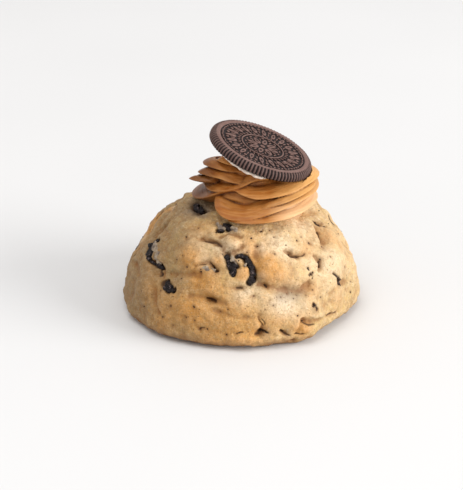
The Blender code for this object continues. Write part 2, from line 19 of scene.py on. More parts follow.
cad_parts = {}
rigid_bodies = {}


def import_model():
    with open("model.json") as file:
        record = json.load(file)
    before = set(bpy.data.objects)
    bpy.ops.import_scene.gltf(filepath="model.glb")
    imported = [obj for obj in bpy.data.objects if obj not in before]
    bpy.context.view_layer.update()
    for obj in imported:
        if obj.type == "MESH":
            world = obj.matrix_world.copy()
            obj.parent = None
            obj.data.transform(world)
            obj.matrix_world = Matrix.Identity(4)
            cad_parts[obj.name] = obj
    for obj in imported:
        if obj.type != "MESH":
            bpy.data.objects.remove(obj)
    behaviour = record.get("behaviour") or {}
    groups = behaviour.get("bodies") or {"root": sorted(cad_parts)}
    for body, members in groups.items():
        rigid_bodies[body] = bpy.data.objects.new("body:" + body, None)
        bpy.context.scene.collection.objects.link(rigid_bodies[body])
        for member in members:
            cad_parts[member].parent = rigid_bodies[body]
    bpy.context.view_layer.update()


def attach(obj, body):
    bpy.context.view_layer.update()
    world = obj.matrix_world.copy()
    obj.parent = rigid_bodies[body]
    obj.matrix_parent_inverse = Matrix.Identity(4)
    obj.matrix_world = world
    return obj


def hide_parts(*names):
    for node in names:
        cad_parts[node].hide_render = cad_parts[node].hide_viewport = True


for startup_object in list(bpy.data.objects):
    bpy.data.objects.remove(startup_object, do_unlink=True)
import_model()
MM = 0.001

# %% [markdown]
# ## Pieces from lists of points
# Blender keeps a mesh as points and as faces that number them. Points worked out with numpy
# turn into an object in one call, and any value that the finish needs later, such as how toasted
# the crust is, is stored on the points as an attribute.

# %% Helpers for meshes


def new_piece(name, points, faces, values=None):
    """A smooth-shaded object at the origin; values are named numbers, one for each point."""
    mesh = bpy.data.meshes.new(name)
    mesh.from_pydata(np.asarray(points).tolist(), [], [list(map(int, face)) for face in faces])
    piece = bpy.data.objects.new(name, mesh)
    bpy.context.scene.collection.objects.link(piece)
    mesh.shade_smooth()
    for label, numbers in (values or {}).items():
        set_values(piece, label, numbers)
    return piece


def set_values(piece, label, numbers):
    layer = piece.data.attributes.new(label, "FLOAT", "POINT")
    layer.data.foreach_set("value", np.asarray(numbers, np.float32))


def points_of(piece):
    flat = np.empty(len(piece.data.vertices) * 3)
    piece.data.vertices.foreach_get("co", flat)
    return flat.reshape(-1, 3)


def move_points(piece, points):
    piece.data.vertices.foreach_set("co", np.asarray(points, np.float32).ravel())
    piece.data.update()


def normals_of(piece):
    flat = np.empty(len(piece.data.vertices) * 3)
    piece.data.vertex_normals.foreach_get("vector", flat)
    return flat.reshape(-1, 3)


def apply_modifiers(piece):
    """The evaluated shape becomes the piece's own plain mesh."""
    graph = bpy.context.evaluated_depsgraph_get()
    graph.update()
    mesh = bpy.data.meshes.new_from_object(piece.evaluated_get(graph))
    old, piece.data = piece.data, mesh
    piece.modifiers.clear()
    mesh.name = piece.name
    bpy.data.meshes.remove(old)
    return piece


def face_outwards(piece):
    form = bmesh.new()
    form.from_mesh(piece.data)
    bmesh.ops.recalc_face_normals(form, faces=form.faces)
    form.to_mesh(piece.data)
    form.free()
    return piece


def triangles(piece):
    return sum(len(face.vertices) - 2 for face in piece.data.polygons)


def ring_faces(rings, sides, first=0, caps=True):
    """Squares between closed rings of points, and a face over each end."""
    number = first + np.arange(rings * sides).reshape(rings, sides)
    ahead = np.roll(number, -1, axis=1)
    squares = np.stack([number[:-1], ahead[:-1], ahead[1:], number[1:]], -1).reshape(-1, 4)
    faces = [list(square) for square in squares]
    if caps:
        faces += [list(number[0][::-1]), list(number[-1])]
    return faces


def smoothstep(x, low, high):
    t = np.clip((np.asarray(x, float) - low) / (high - low), 0, 1)
    return t * t * (3 - 2 * t)


def wander(points, size, shift=0.0):
    """Smooth noise of about -1 to 1 at each point, with features of the given size."""
    offset = Vector((shift, 0.7 * shift, -0.4 * shift))
    return np.array([noise.noise(Vector(point) / size + offset) for point in points])


print("helpers ready")

# %% [markdown]
# ## Sums on sockets
# A procedural finish is a net of small nodes. Wired by hand it is hard to read, so this class
# wraps one socket: adding or multiplying wrapped sockets makes the Math nodes. Every other node
# comes from `make`, which sets the node's own settings before it fills its sockets. A finish is
# then a list of layers, from the bottom up: where a colour lies, how strongly, and the colour.

# %% A class for node trees


class Flow:
    def __init__(self, tree, socket=None):
        self.tree, self.socket = tree, socket

    def make(self, kind, settings=None, sockets=None, out=0):
        """A new node of this kind: its settings first, then values or links; returns an output."""
        node = self.tree.nodes.new(kind)
        for name, value in (settings or {}).items():
            setattr(node, name, value)
        for name, value in (sockets or {}).items():
            self.fill(node.inputs[name], value)
        return Flow(self.tree, node.outputs[out])

    def fill(self, socket, value):
        if isinstance(value, Flow):
            self.tree.links.new(value.socket, socket)
        else:
            socket.default_value = value

    def math(self, operation, first, second=0.0, clamp=False):
        settings = {"operation": operation, "use_clamp": clamp}
        return self.make("ShaderNodeMath", settings, {0: first, 1: second})

    def __add__(self, other):
        return self.math("ADD", self, other)

    def __radd__(self, other):
        return self.math("ADD", other, self)

    def __sub__(self, other):
        return self.math("SUBTRACT", self, other)

    def __rsub__(self, other):
        return self.math("SUBTRACT", other, self)

    def __mul__(self, other):
        return self.math("MULTIPLY", self, other)

    def __rmul__(self, other):
        return self.math("MULTIPLY", other, self)

    def __rtruediv__(self, other):
        return self.math("DIVIDE", other, self)

    def __pow__(self, other):
        return self.math("POWER", self, other)

    def clamped(self):
        return self.math("ADD", self, 0.0, clamp=True)

    def step(self, low, high):
        """0 below low, 1 above high and a smooth rise between, or the reverse if low > high."""
        flip = low > high
        ends = (high, low) if flip else (low, high)
        settings = {"interpolation_type": "SMOOTHSTEP"}
        found = self.make("ShaderNodeMapRange", settings, {
            "Value": self, "From Min": ends[0], "From Max": ends[1]})
        return 1 - found if flip else found

    def blend(self, colour, other):
        """Mixes two colours, with this value as the share of the second."""
        settings = {"data_type": "RGBA", "blend_type": "MIX", "clamp_factor": True}
        return self.make("ShaderNodeMix", settings, {0: self, 6: colour, 7: other}, out=2)

    def place(self):
        """Where a point lies on its piece, in metres."""
        return self.make("ShaderNodeTexCoord", out="Object")

    def along(self, axis):
        """One of the three numbers of a place: X, Y or Z."""
        return self.make("ShaderNodeSeparateXYZ", None, {0: self}, out=axis)

    def stored(self, label):
        """A value that is kept on the points of the mesh."""
        return self.make("ShaderNodeAttribute", {"attribute_name": label}, out="Fac")

    def mottle(self, place, size, detail=3.0, rough=0.5):
        """Noise of 0 to 1 in features of this size, in metres, on a coordinate."""
        sockets = {"Vector": place, "Scale": 1 / size, "Detail": detail, "Roughness": rough}
        return self.make("ShaderNodeTexNoise", {"noise_dimensions": "3D"}, sockets)


def tint(red, green, blue):
    """A colour given in 0 to 255, as the light values that a shader works with."""
    shares = [channel / 255 for channel in (red, green, blue)]
    light = [s / 12.92 if s <= 0.04045 else ((s + 0.055) / 1.055) ** 2.4 for s in shares]
    return (*light, 1.0)


def new_finish(name, roughness, **constants):
    """A material; constants go on the shader's own sockets."""
    material = bpy.data.materials.new(name)
    material.use_nodes = True
    shader = material.node_tree.nodes["Principled BSDF"]
    shader.inputs["Roughness"].default_value = roughness
    for label, value in constants.items():
        shader.inputs[label.replace("_", " ")].default_value = value
    return material, shader, Flow(material.node_tree)


def layered(colour, layers):
    """Colours laid over one another: for each a mask, the most that shows of it, and the colour."""
    for mask, share, other in layers:
        colour = (mask * share).blend(colour, other)
    return colour


def dress(shader, colour, roughness, relief, strength, depth):
    """Links a colour, a roughness and a bump of this relief, its depth in metres, to the shader."""
    bump = relief.make("ShaderNodeBump", None, {
        "Strength": strength, "Distance": depth, "Height": relief}, out="Normal")
    for label, found in {"Base Color": colour, "Roughness": roughness, "Normal": bump}.items():
        relief.fill(shader.inputs[label], found)


print("node helper ready")

# %% [markdown]
# ## The baked dough: its broad shape
# The cookie is an egg-like dome over a tucked-in foot. Its surface is one distance from a core
# point in every direction, so the same few functions give the solid, this finer skin, and the
# spot on the surface where a crumb or a chunk sits. Soft lumps are merged with a smooth maximum,
# which leaves the rounded bulges and narrow valleys that dough has when scoops bake together.

# %% Shape of the dome
COOKIE_WIDTH, COOKIE_DEPTH, COOKIE_HEIGHT = 99.2 * MM, 97.0 * MM, 51.0 * MM
CORE_HEIGHT, FOOT_DROP = 7.0 * MM, 12.0 * MM
DOME_POWER, DOME_LEAN, FOOT_POWER = 1.95, 0.12, 2.45


def direction(azimuth, elevation):
    a, e = math.radians(azimuth), math.radians(elevation)
    return np.array([math.cos(e) * math.cos(a), math.cos(e) * math.sin(a), math.sin(e)])


def dome_radius(rays):
    """Distance from the core to the plain dome along each ray."""
    across = np.hypot(rays[:, 0] / (COOKIE_WIDTH / 2), rays[:, 1] / (COOKIE_DEPTH / 2))
    upper = rays[:, 2] > 0
    reach = np.where(upper, COOKIE_HEIGHT - CORE_HEIGHT, FOOT_DROP)
    power = np.where(upper, DOME_POWER + DOME_LEAN * rays[:, 0], FOOT_POWER)
    return (across ** power + (abs(rays[:, 2]) / reach) ** power) ** (-1 / power)


def dome_point(azimuth, elevation):
    ray = direction(azimuth, elevation)
    return ray * dome_radius(ray[None])[0]


def distance_to_spot(points, azimuth, elevation):
    return np.linalg.norm(points - dome_point(azimuth, elevation), axis=1)


def distance_to_route(points, route):
    """Distance from each point to a line through places on the dome."""
    places = [dome_point(*place) for place in route]
    nearest = np.full(len(points), 1.0)
    for start, end in zip(places, places[1:]):
        along = end - start
        t = np.clip((points - start) @ along / (along @ along), 0, 1)
        nearest = np.minimum(nearest, np.linalg.norm(points - start - t[:, None] * along, axis=1))
    return nearest


def bell(away, width):
    """1 in the middle, with a soft fall to 0 over about this width."""
    return np.exp(-(away / width) ** 2)


print("dome radius to the right, mm:", round(dome_radius(direction(0, 0)[None])[0] / MM, 1))

# %% Lumps, valleys and dents
GOLDEN_ANGLE = 137.5
LUMP_CURVE, LUMP_SHARPNESS, LUMP_SPACING = 32.0 * MM, 1.7 / MM, 15.0 * MM
FOOT_START, FOOT_BLEND, MEAN_RISE = -0.12, 0.3, 1.0 * MM
BACK_LUMPS, BACK_LUMP_RISE, LUMP_SEED = 46, (0.2 * MM, 1.5 * MM), 11
BROAD_SWELL, BROAD_SIZE, FINE_SWELL, FINE_SIZE = 0.9, 17 * MM, 0.35, 6.5 * MM
FINE_SHIFT = Vector((5, 1, 3))

# Azimuth and elevation from the core, rise in mm
LUMPS = (
    (226, 49, 0.5), (242, 36, 0.9), (286, 31, 1.7), (246, 12, 1.1), (254, 25, 0.4),
    (304, 46, 0.9), (341, 32, 1.0), (322, 14, 0.8), (267, 13, 0.7), (284, 13, 0.5),
    (304, 0, 1.6), (212, 11, 0.5), (326, 27, 0.6), (268, 46, 0.5), (197, 34, 0.8),
    (229, 4, 0.4), (302, 27, 0.5), (350, 12, 0.7), (190, 14, 0.6), (268, 30, 0.6),
)

# Width and depth in mm, then the azimuths and elevations along the valley
VALLEYS = (
    (2.6, 1.3, ((158, 54), (177, 49), (184, 43), (194, 38))),
    (1.2, 1.3, ((240, 47), (250, 46), (258, 44))),
    (1.0, 1.5, ((319, 32), (320, 28), (317, 25))),
    (1.2, 1.1, ((300, 39), (306, 35), (312, 36))),
    (3.0, 1.4, ((347, 44), (341, 39), (336, 35))),
    (3.2, 1.2, ((283, 24), (293, 20), (305, 18))),
    (1.3, 1.4, ((296, -6), (298, 1), (300, 4), (305, 3), (311, 2))),
    (0.9, 1.0, ((278, 9), (280, 3), (280, 0))),
    (1.0, 1.3, ((209, 27), (218, 25), (221, 21))),
    (1.2, 1.0, ((242, 32), (248, 35), (256, 32))),
    (1.6, 1.0, ((264, 23), (272, 24), (282, 24))),
)

# Azimuth, elevation, radius and depth in mm; a negative depth is a bulge
DENTS = (
    (253, 17, 2.4, 2.4), (341, 39, 5.0, 1.0), (300, 4, 1.6, 1.2), (133, 38, 12.0, 2.8),
    (279, 1, 2.2, 1.3), (291, 0, 2.0, 1.2), (319, -12, 8.5, 6.5), (286, -14, 7.0, 1.6),
    (218, -10, 17.0, -1.5), (303, -7, 7.0, -1.0), (24, 43, 9.0, -2.9), (21, 19, 9.0, 2.2),
    (345, 30, 8.0, 0.8), (336, -11, 9.0, 3.4), (250, -11, 26.0, 1.0), (185, 50, 9.0, 0.8),
)


def golden_places(count, lowest, span, sway, draw):
    """Places spread evenly over the dome, a golden angle apart and each shifted a little."""
    for i in range(count):
        elevation = math.degrees(math.asin(lowest + span * (i + 0.5) / count))
        yield dome_point(GOLDEN_ANGLE * i + draw.uniform(-sway, sway), elevation)


def lump_table():
    """The lumps that show, and others where none of those is near."""
    draw = random.Random(LUMP_SEED)
    table = [(*dome_point(azimuth, elevation), rise * MM) for azimuth, elevation, rise in LUMPS]
    for point in golden_places(BACK_LUMPS, -0.1, 1.05, 8, draw):
        if min(math.dist(point, lump[:3]) for lump in table) > LUMP_SPACING:
            table.append((*point, draw.uniform(*BACK_LUMP_RISE)))
    return np.array(table)


ALL_LUMPS = lump_table()
print("lumps on the dome:", len(ALL_LUMPS))

# %% Distance to the dough, before the chunks are pressed in


def soft_radius(rays):
    points = rays * dome_radius(rays)[:, None]
    rises = [lump[3] - ((points - lump[:3]) ** 2).sum(1) / (2 * LUMP_CURVE) for lump in ALL_LUMPS]
    rise = np.log(np.exp(LUMP_SHARPNESS * np.array(rises)).sum(0)) / LUMP_SHARPNESS
    above_foot = smoothstep(rays[:, 2], FOOT_START, FOOT_START + FOOT_BLEND)
    radius = dome_radius(rays) + (rise - MEAN_RISE) * above_foot
    for width, depth, route in VALLEYS:
        radius -= depth * MM * bell(distance_to_route(points, route), width * MM)
    for azimuth, elevation, reach, depth in DENTS:
        radius -= depth * MM * bell(distance_to_spot(points, azimuth, elevation), reach * MM)
    broad = wander(points, BROAD_SIZE) * BROAD_SWELL
    fine = np.array([noise.noise(Vector(point) / FINE_SIZE + FINE_SHIFT) for point in points])
    return radius + (broad + fine * FINE_SWELL) * MM


print("height of the soft dough under the swirl, mm:",
      round((soft_radius(direction(90, 89)[None])[0] + CORE_HEIGHT) / MM, 1))

# %% [markdown]
# ## The baked dough: small bulges and folds
# Real crust isn't one smooth hill: small bulges swell up side by side and meet in narrow valleys.
# Each bulge is a cap of a ball, and at every point the highest cap counts, with the corner between
# two caps slightly rounded. Folds are broader valleys along a route. The bulges that show are
# placed one by one, and the other sides get bulges of the same sizes from a seeded draw.

# %% Tables of bulges and folds

# Azimuth, elevation, radius and rise in mm
BULGES = (
    (210, 50.5, 8.5, 1.6), (234.5, 38, 8, 1.7), (242, 51.5, 5, 1.0), (261.5, 46.5, 4.4, 1.5),
    (236, 22.5, 6.5, 0.8), (240, 10.5, 8, 0.9), (252.5, 8.5, 5, 0.7), (291, 33.5, 9.5, 1.9),
    (310.5, 40, 6, 0.9), (284, 41.5, 4.5, 0.9), (300.5, 27, 5.5, 1.1), (285, 16.5, 6.5, 1.1),
    (272.5, 15, 6.5, 0.9), (271, 31.5, 2.6, 1.0), (255.5, 36.5, 3.4, 0.9), (253.5, 24.5, 5.5, 1.1),
    (327.5, 25.5, 7.5, 1.3), (347.5, 35.5, 7, 1.4), (324.5, 7.5, 6, 1.0), (305.5, 14, 5.5, 0.7),
    (298, 3.5, 4.2, 0.9), (302.5, 0.5, 3.6, 1.2), (319, 17, 4.5, 0.6), (193, 25, 7, 1.1),
    (212.5, 11.5, 8, 0.9), (182.5, 41.5, 6, 0.9), (262.5, 6.5, 5.5, 0.6), (276.5, 6.5, 4.5, 0.6),
    (291, 8.5, 4.5, 0.7), (310, 47.5, 5.5, 0.7), (287.5, 52, 4.5, 0.6), (272.5, 23, 4.5, 0.7),
    (250.5, 45, 4, 0.9), (227, 11.5, 6, 0.6), (263.5, 19, 4, 0.6),
)
BACK_BULGES, BULGE_REACH, BULGE_RISE, BULGE_SEED = 90, (4.0, 8.5), (0.6, 1.6), 12
BULGE_EDGE, MEAN_BULGE, BULGE_OVERLAP = 3.8 / MM, 1.3 * MM, 0.3
# The outline at the far left and right is smoother, so a drawn bulge there rises less
SMOOTH_FROM, SMOOTH_RISE = 38 * MM, 0.5

# Width and depth in mm, then the azimuths and elevations along the fold
FOLDS = (
    (1.8, 2.0, ((190, 60), (192, 54), (194, 45.5), (193, 38), (197.5, 33))),
    (1.7, 1.5, ((216, 23), (221.5, 23.5), (231, 25), (239.5, 27), (245.5, 28.5))),
    (1.9, 1.7, ((278, 27), (281, 25), (284.5, 23.5), (291, 21), (296.5, 19), (303.5, 18), (308.5, 20))),
    (1.5, 1.5, ((281, 44.5), (279, 39), (279, 33.5), (278, 28.5))),
    (1.4, 0.9, ((219, 16.5), (222, 10), (227, 4.5))), (1.4, 0.9, ((190, 17), (196, 17.5), (205, 16))),
    (1.2, 1.5, ((257, 42.5), (259, 41.5), (266.5, 42), (271, 44.5))),
    (1.1, 1.2, ((253.5, 50.5), (259, 52.5), (269, 50.5))),
    (2.2, 1.5, ((345, 42), (341, 38.5), (335, 35), (328, 33))),
    (1.5, 0.7, ((300, 38), (304, 35.5), (310.5, 34.5), (316, 33.5), (320, 28), (319, 24))),
    (1.4, 1.0, ((243, 17), (252, 17.5), (262, 16))), (1.5, 0.9, ((256, 12), (268, 9), (279, 10))),
    (1.2, 0.8, ((228, 44), (232, 46), (240, 46))), (1.4, 0.8, ((320, 12), (330, 14), (338, 11))),
    (1.7, 1.6, ((20, 44), (38, 49), (52, 47))), (1.6, 1.5, ((66, 20), (80, 27), (92, 30))),
    (1.8, 1.6, ((120, 16), (128, 24), (134, 24))), (1.6, 1.4, ((158, 30), (166, 25), (174, 27))),
    (1.5, 1.3, ((2, 20), (14, 26), (24, 34))), (1.5, 1.3, ((100, 40), (112, 37), (124, 40))),
    (1.5, 1.2, ((40, 6), (48, 14), (60, 17))), (1.5, 1.3, ((140, 44), (150, 48), (162, 47))),
    (1.4, 1.1, ((142, 8), (152, 12), (164, 9))), (1.4, 1.2, ((84, 55), (92, 50), (104, 52))),
)


def bulge_table():
    """The bulges that show, and others of the same sizes where none of those is near."""
    draw = random.Random(BULGE_SEED)
    shown = [(*dome_point(azimuth, elevation), reach * MM, rise * MM)
             for azimuth, elevation, reach, rise in BULGES]
    table = list(shown)
    for point in golden_places(BACK_BULGES, -0.12, 1.0, 9, draw):
        reach, rise = draw.uniform(*BULGE_REACH) * MM, draw.uniform(*BULGE_RISE) * MM
        if abs(point[0]) > SMOOTH_FROM:
            rise *= SMOOTH_RISE
        if min(math.dist(point, bulge[:3]) - bulge[3] for bulge in shown) > BULGE_OVERLAP * reach:
            table.append((*point, reach, rise))
    return np.array(table)


ALL_BULGES = bulge_table()
print("bulges:", len(ALL_BULGES), "folds:", len(FOLDS))

# %% Distance to the crust, and frames on it
UNEVEN_SHARE, UNEVEN_SIZE, LOWEST_BULGE = 0.22, 5 * MM, -2 * MM
BULGES_FROM, BULGES_FULL = -0.14, 0.02


def crust_radius(rays):
    """Distance from the core to the crust, before the chunks are pressed in."""
    points = rays * dome_radius(rays)[:, None]
    uneven = 1 + UNEVEN_SHARE * wander(points, UNEVEN_SIZE, 2.0)
    heights = [np.zeros(len(points))]
    for x, y, z, reach, rise in ALL_BULGES:
        away = ((points - (x, y, z)) ** 2).sum(1) * uneven
        heights.append(np.maximum(rise * (1 - away / reach ** 2), LOWEST_BULGE))
    lift = np.log(np.exp(BULGE_EDGE * np.array(heights)).sum(0)) / BULGE_EDGE - MEAN_BULGE
    for width, depth, route in FOLDS:
        lift -= depth * MM * bell(distance_to_route(points, route) * uneven, width * MM)
    return soft_radius(rays) + lift * smoothstep(rays[:, 2], BULGES_FROM, BULGES_FULL)


def tangents(azimuth, elevation):
    """Three directions on the dough: level, up the slope, and out."""
    level = Vector(dome_point(azimuth + 2, elevation) - dome_point(azimuth - 2, elevation))
    slope = Vector(dome_point(azimuth, elevation + 2) - dome_point(azimuth, elevation - 2))
    out = level.cross(slope).normalized()
    level.normalize()
    return level, out.cross(level), out


def frame_on(origin, azimuth, elevation):
    """A matrix at this spot: X level, Y up the slope, Z out."""
    return Matrix.Translation(origin) @ Matrix(tangents(azimuth, elevation)).transposed().to_4x4()


def surface_frame(azimuth, elevation):
    """A frame on the crust, before the chunks are pressed in."""
    ray = direction(azimuth, elevation)
    origin = Vector(ray * crust_radius(ray[None])[0]) + Vector((0, 0, CORE_HEIGHT))
    return frame_on(origin, azimuth, elevation)


print("crust to the front, mm:", round(crust_radius(direction(270, 0)[None])[0] / MM, 1))

# %% [markdown]
# ## The baked dough: pockets, creases and pits
# Each biscuit chunk is a few broken bits in one pocket, whose edge follows the bits, a little
# wider and uneven. Creases are thin routes pressed into the surface, and every dark speck gets a
# shallow pit. Pockets, shards and the cuts of creases also get painted shade. They could be sculpted
# by hand; routes and spots are easy to repeat and correct.

# %% Tables of the small features
POCKET_DEPTH, POCKET_MARGIN = 1.7 * MM, 0.35 * MM

# Bits of the chunks that show: half width in mm, then the azimuths and elevations along the bit
SHOWN_CHUNKS = (
    ((0.8, ((203, 35.5), (201.5, 34))), (1.9, ((201.3, 32), (202.3, 29.5), (203.5, 28))),
     (0.7, ((204.5, 26), (206.5, 25.3))), (0.45, ((208, 25), (212, 25))),
     (0.9, ((213.5, 25), (216, 25.3)))),
    ((1.5, ((224, 18.3), (226.5, 17.3), (229.5, 17))), (0.9, ((225, 19.7), (226, 18))),
     (0.8, ((228, 16), (232.5, 17)))),
    ((1.0, ((260.5, 40), (262.3, 37))), (1.25, ((262.5, 36.5), (264.5, 33.5), (265.5, 30.5))),
     (0.8, ((265, 35), (267.3, 34)))),
    ((1.3, ((254, 59), (257, 58), (258.5, 56))), (0.6, ((249, 54), (252.5, 54.5)))),
    ((1.25, ((190.5, 63), (196, 63.3), (202, 63))), (0.9, ((203, 64.3), (208, 63.8)))),
)
# Chunks on the other sides: azimuth, elevation, length and width in mm, turn in degrees
OTHER_CHUNKS = (
    (18, 26, 7.0, 4.4, 70), (52, 41, 7.6, 4.0, -30), (88, 21, 5.6, 4.4, 10),
    (112, 48, 6.4, 3.9, 55), (141, 29, 7.6, 4.2, -12), (168, 14, 5.6, 4.0, 80),
)
HOOK_BITS = (
    (0.6, ((267.5, 39.5), (270, 40))), (0.9, ((270, 40), (273, 38.5), (275, 35.5))),
    (1.15, ((275, 35.5), (276.5, 32), (276.5, 28.5), (274.5, 26.3))),
)
DOUGH_REACH = 49.0


def bits_of_block(azimuth, elevation, length, width, turn):
    """A block that broke into one large bit and two small ones beside it."""
    lean = math.radians(turn)

    def at(along, aside):
        level = aside * math.cos(lean) - along * math.sin(lean)
        rise = aside * math.sin(lean) + along * math.cos(lean)
        reach = DOUGH_REACH * math.cos(math.radians(elevation))
        return azimuth + math.degrees(level / reach), elevation + math.degrees(rise / DOUGH_REACH)

    half, end = 0.36 * width, length / 2 - 0.36 * width
    return (
        (half, (at(-end, 0.1 * width), at(0, -0.12 * width), at(end, 0.0))),
        (0.45 * half, (at(-0.5 * end, 0.42 * width), at(0.2 * end, 0.45 * width))),
        (0.6 * half, (at(0.8 * end, -0.3 * width), at(1.25 * end, -0.1 * width))),
    )


CHUNKS = (*SHOWN_CHUNKS, *(bits_of_block(*chunk) for chunk in OTHER_CHUNKS), HOOK_BITS)

# Width and depth in mm, then the azimuths and elevations along the crease
CREASES = (
    (3.4, 2.2, ((190, 62.5), (196, 63.3), (207, 63.4))),
    (0.35, 0.6, ((239, 46), (244.5, 46.5), (251, 46.5), (255, 45), (256.5, 44))),
    (0.45, 1.2, ((216, 24.5), (216.5, 23), (218, 22), (220, 20.5))),
    (0.35, 0.7, ((243, 32.5), (246.5, 33.5), (249, 34))),
    (0.5, 1.3, ((249.5, 36), (251.5, 34.5), (253.5, 32.5), (255.5, 31))),
    (0.45, 0.7, ((301, 38), (303, 36), (308, 35), (310.5, 34.5), (313.5, 34.5))),
    (0.45, 0.8, ((345, 41), (341.5, 38.5), (336, 35.5))), (0.5, 0.9, ((321.5, 29.5), (320, 28), (319, 25.5))),
    (0.45, 0.9, ((266.5, 23.5), (269.5, 23.5), (271.5, 23.5))),
    (0.5, 1.8, ((250, 17.3), (253.5, 16.5), (257.5, 15.8))),
    (0.3, 0.9, ((278, 8.5), (280, 6), (281, 3.5))),
    (0.3, 0.7, ((279.5, 9), (281.2, 6.5), (281.6, 4.5))), (0.4, 0.7, ((276, 0), (279, 0), (282.5, 2))),
    (0.4, 0.8, ((267.5, 1), (269.5, 1.5), (271.5, 2))),
    (0.4, 0.8, ((289, 1.5), (291.5, -1), (294.5, -2.5))),
    (0.35, 0.6, ((300.5, 4.5), (300.5, 3), (303, 2), (307, 1))),
    (0.4, 0.9, ((295.5, -1.5), (298.5, -2), (301, -2))), (0.45, 0.9, ((315, 2), (320, 1.5), (325.5, 0))),
    (0.3, 0.5, ((341, 10), (343.5, 8))), (0.35, 0.5, ((253, 2.5), (250.5, 2.5), (249, 0.5))),
    (0.5, 0.9, ((24, 45), (38, 49), (48, 47.5))), (0.5, 0.9, ((70, 21), (80, 27), (90, 29.5))),
    (0.5, 1.0, ((121, 17), (128, 24), (134, 24))), (0.5, 0.9, ((100, 58), (124, 60), (140, 52))),
    (0.5, 0.9, ((160, 29), (166, 25), (174, 27))), (0.45, 0.8, ((36, 8), (48, 12), (54, 20))),
    (0.5, 0.8, ((182, 12), (188, 20), (186, 26))), (0.45, 0.8, ((0, 12), (8, 17), (16, 15))),
    (0.6, 1.5, ((64, 34), (66, 32))), (0.6, 1.5, ((150, 18), (153, 17))), (0.6, 1.5, ((104, 32), (107, 33))),
)

# Dark specks: azimuth, elevation, length in mm
SPECKS = (
    (231.5, 52, 1.1), (226.5, 45, 1.3), (228.5, 32.5, 1.2), (233, 35, .7),
    (237, 30.5, 1.3), (235.5, 24, 1.3), (246, 30, 1.6), (255, 31, 1.6), (213.5, 11, .9),
    (224, 14.5, 1.1), (233.5, 10, 1.2), (246.5, 12.5, 1.6), (243, 6.5, 1.5), (247.5, 6, 1.1),
    (236, 1, .9), (230, 3.5, 1.3), (216, 4, 1.4), (259.5, 11.5, .7), (263.5, 13, 1.1),
    (253.5, 2, 1.3), (250, 1.5, 1.1), (263, 0, 1.2), (189.5, 28.5, .8), (257, 40.5, 1.4),
    (340.5, 54.5, 1.1), (294.5, 52.5, 1.1), (295.5, 48, 1.3), (278, 49, 1.5), (282, 44.5, 1.3),
    (310, 42.5, 1.5), (316, 43.5, 1), (321.5, 39, 1.8), (313, 35, 1), (303, 37.5, 1.1),
    (274, 41.5, 1.1), (291, 38.5, 1.3), (349.5, 39.5, 1.4), (351.5, 44, 1.8), (350.5, 42, 1.2),
    (330.5, 34, 1.2), (327, 28.5, 1), (339.5, 18.5, .9), (321, 29.5, 1.2), (310, 28, 1.6),
    (341, 4, 1.5), (341.5, 9.5, .9), (313, 12.5, 1.2), (284, 23, 1.4), (295, 18, .8),
    (290.5, 17.5, .8), (298, 18, .7), (297.5, 15.5, .8), (285.5, 14.5, 1.2), (281.5, 13, .9),
    (292.5, 15, .7), (307, 9.5, 1.8), (308, 7.5, 1.4), (297.5, 7.5, 1.3), (301, 4, 1.6),
    (305, 15.5, .8), (309.5, 17, .9), (276.5, 19.5, 1), (315.5, 37, .7), (319, 26, 1.3),
    (300, 16.5, .6), (288, 18, .6),
)
# Slender shards: half width in mm, then the azimuths and elevations along the shard
SLIVERS = (
    (0.45, ((324.5, 20.5), (326, 19), (328, 17))), (1.1, ((327.8, 17.2), (329.6, 15), (330.6, 12.6))),
    (0.5, ((330.8, 12.5), (331.2, 10.3))), (0.3, ((351.5, 45.5), (350.5, 43.5), (349.5, 41.5))),
    (0.45, ((309.4, 27.8), (309.7, 27))), (0.55, ((310.2, 25.2), (310.9, 24.3))),
    (0.35, ((308.8, 24.8), (309.2, 24.3))), (0.35, ((311.8, 25.4), (312.2, 25))),
    (0.3, ((310.8, 23), (311, 22.4))),
    (0.65, ((307.5, 10.6), (308.3, 9.8))), (0.4, ((308.7, 8.7), (308.9, 8))),
    (0.4, ((279, 0.8), (281.5, 1))), (0.3, ((281.5, 1), (283, 0.5))), (0.3, ((268, 1), (269.5, 1.8))),
    (0.3, ((289, 1.3), (290.5, 0.3))), (0.3, ((284, 23.5), (283, 24.5))), (0.4, ((255, 31), (256, 31.2))),
    (0.35, ((251.5, 34.5), (253, 33))), (0.3, ((286.5, 52.5), (288, 53))), (0.3, ((218, 22), (219, 21))),
    (0.35, ((36, 24), (40, 26), (43, 30))), (0.3, ((74, 44), (78, 41), (79, 37))),
    (0.35, ((126, 34), (131, 35), (136, 33))), (0.3, ((156, 40), (160, 37), (161, 33))),
    (0.35, ((102, 10), (107, 12), (112, 11))), (0.3, ((8, 30), (10, 34), (13, 36))),
    (0.3, ((60, 12), (63, 14))), (0.3, ((30, 36), (33, 35))), (0.3, ((84, 50), (90, 52))),
)
print("creases:", len(CREASES), "specks:", len(SPECKS), "shards:", len(SLIVERS))

# %% Pressing them into the dough
RAGGED_SHARE, RAGGED_SIZE = 0.2, 1.9 * MM
SLIVER_DEPTH, SLIVER_MARGIN, SLIVER_SHADE = 0.5 * MM, 0.25 * MM, 0.8
# A crease is a sharp cut in a wider dip, and both grow weaker towards its ends
END_SHARE, END_FADE, CUT_SHARE, DIP_WIDTH = 0.35, 1.0 * MM, 0.6, 2.6
PIT_DEPTH, PIT_SHARE, PIT_MARGIN = 0.25 * MM, 0.4, 0.2 * MM


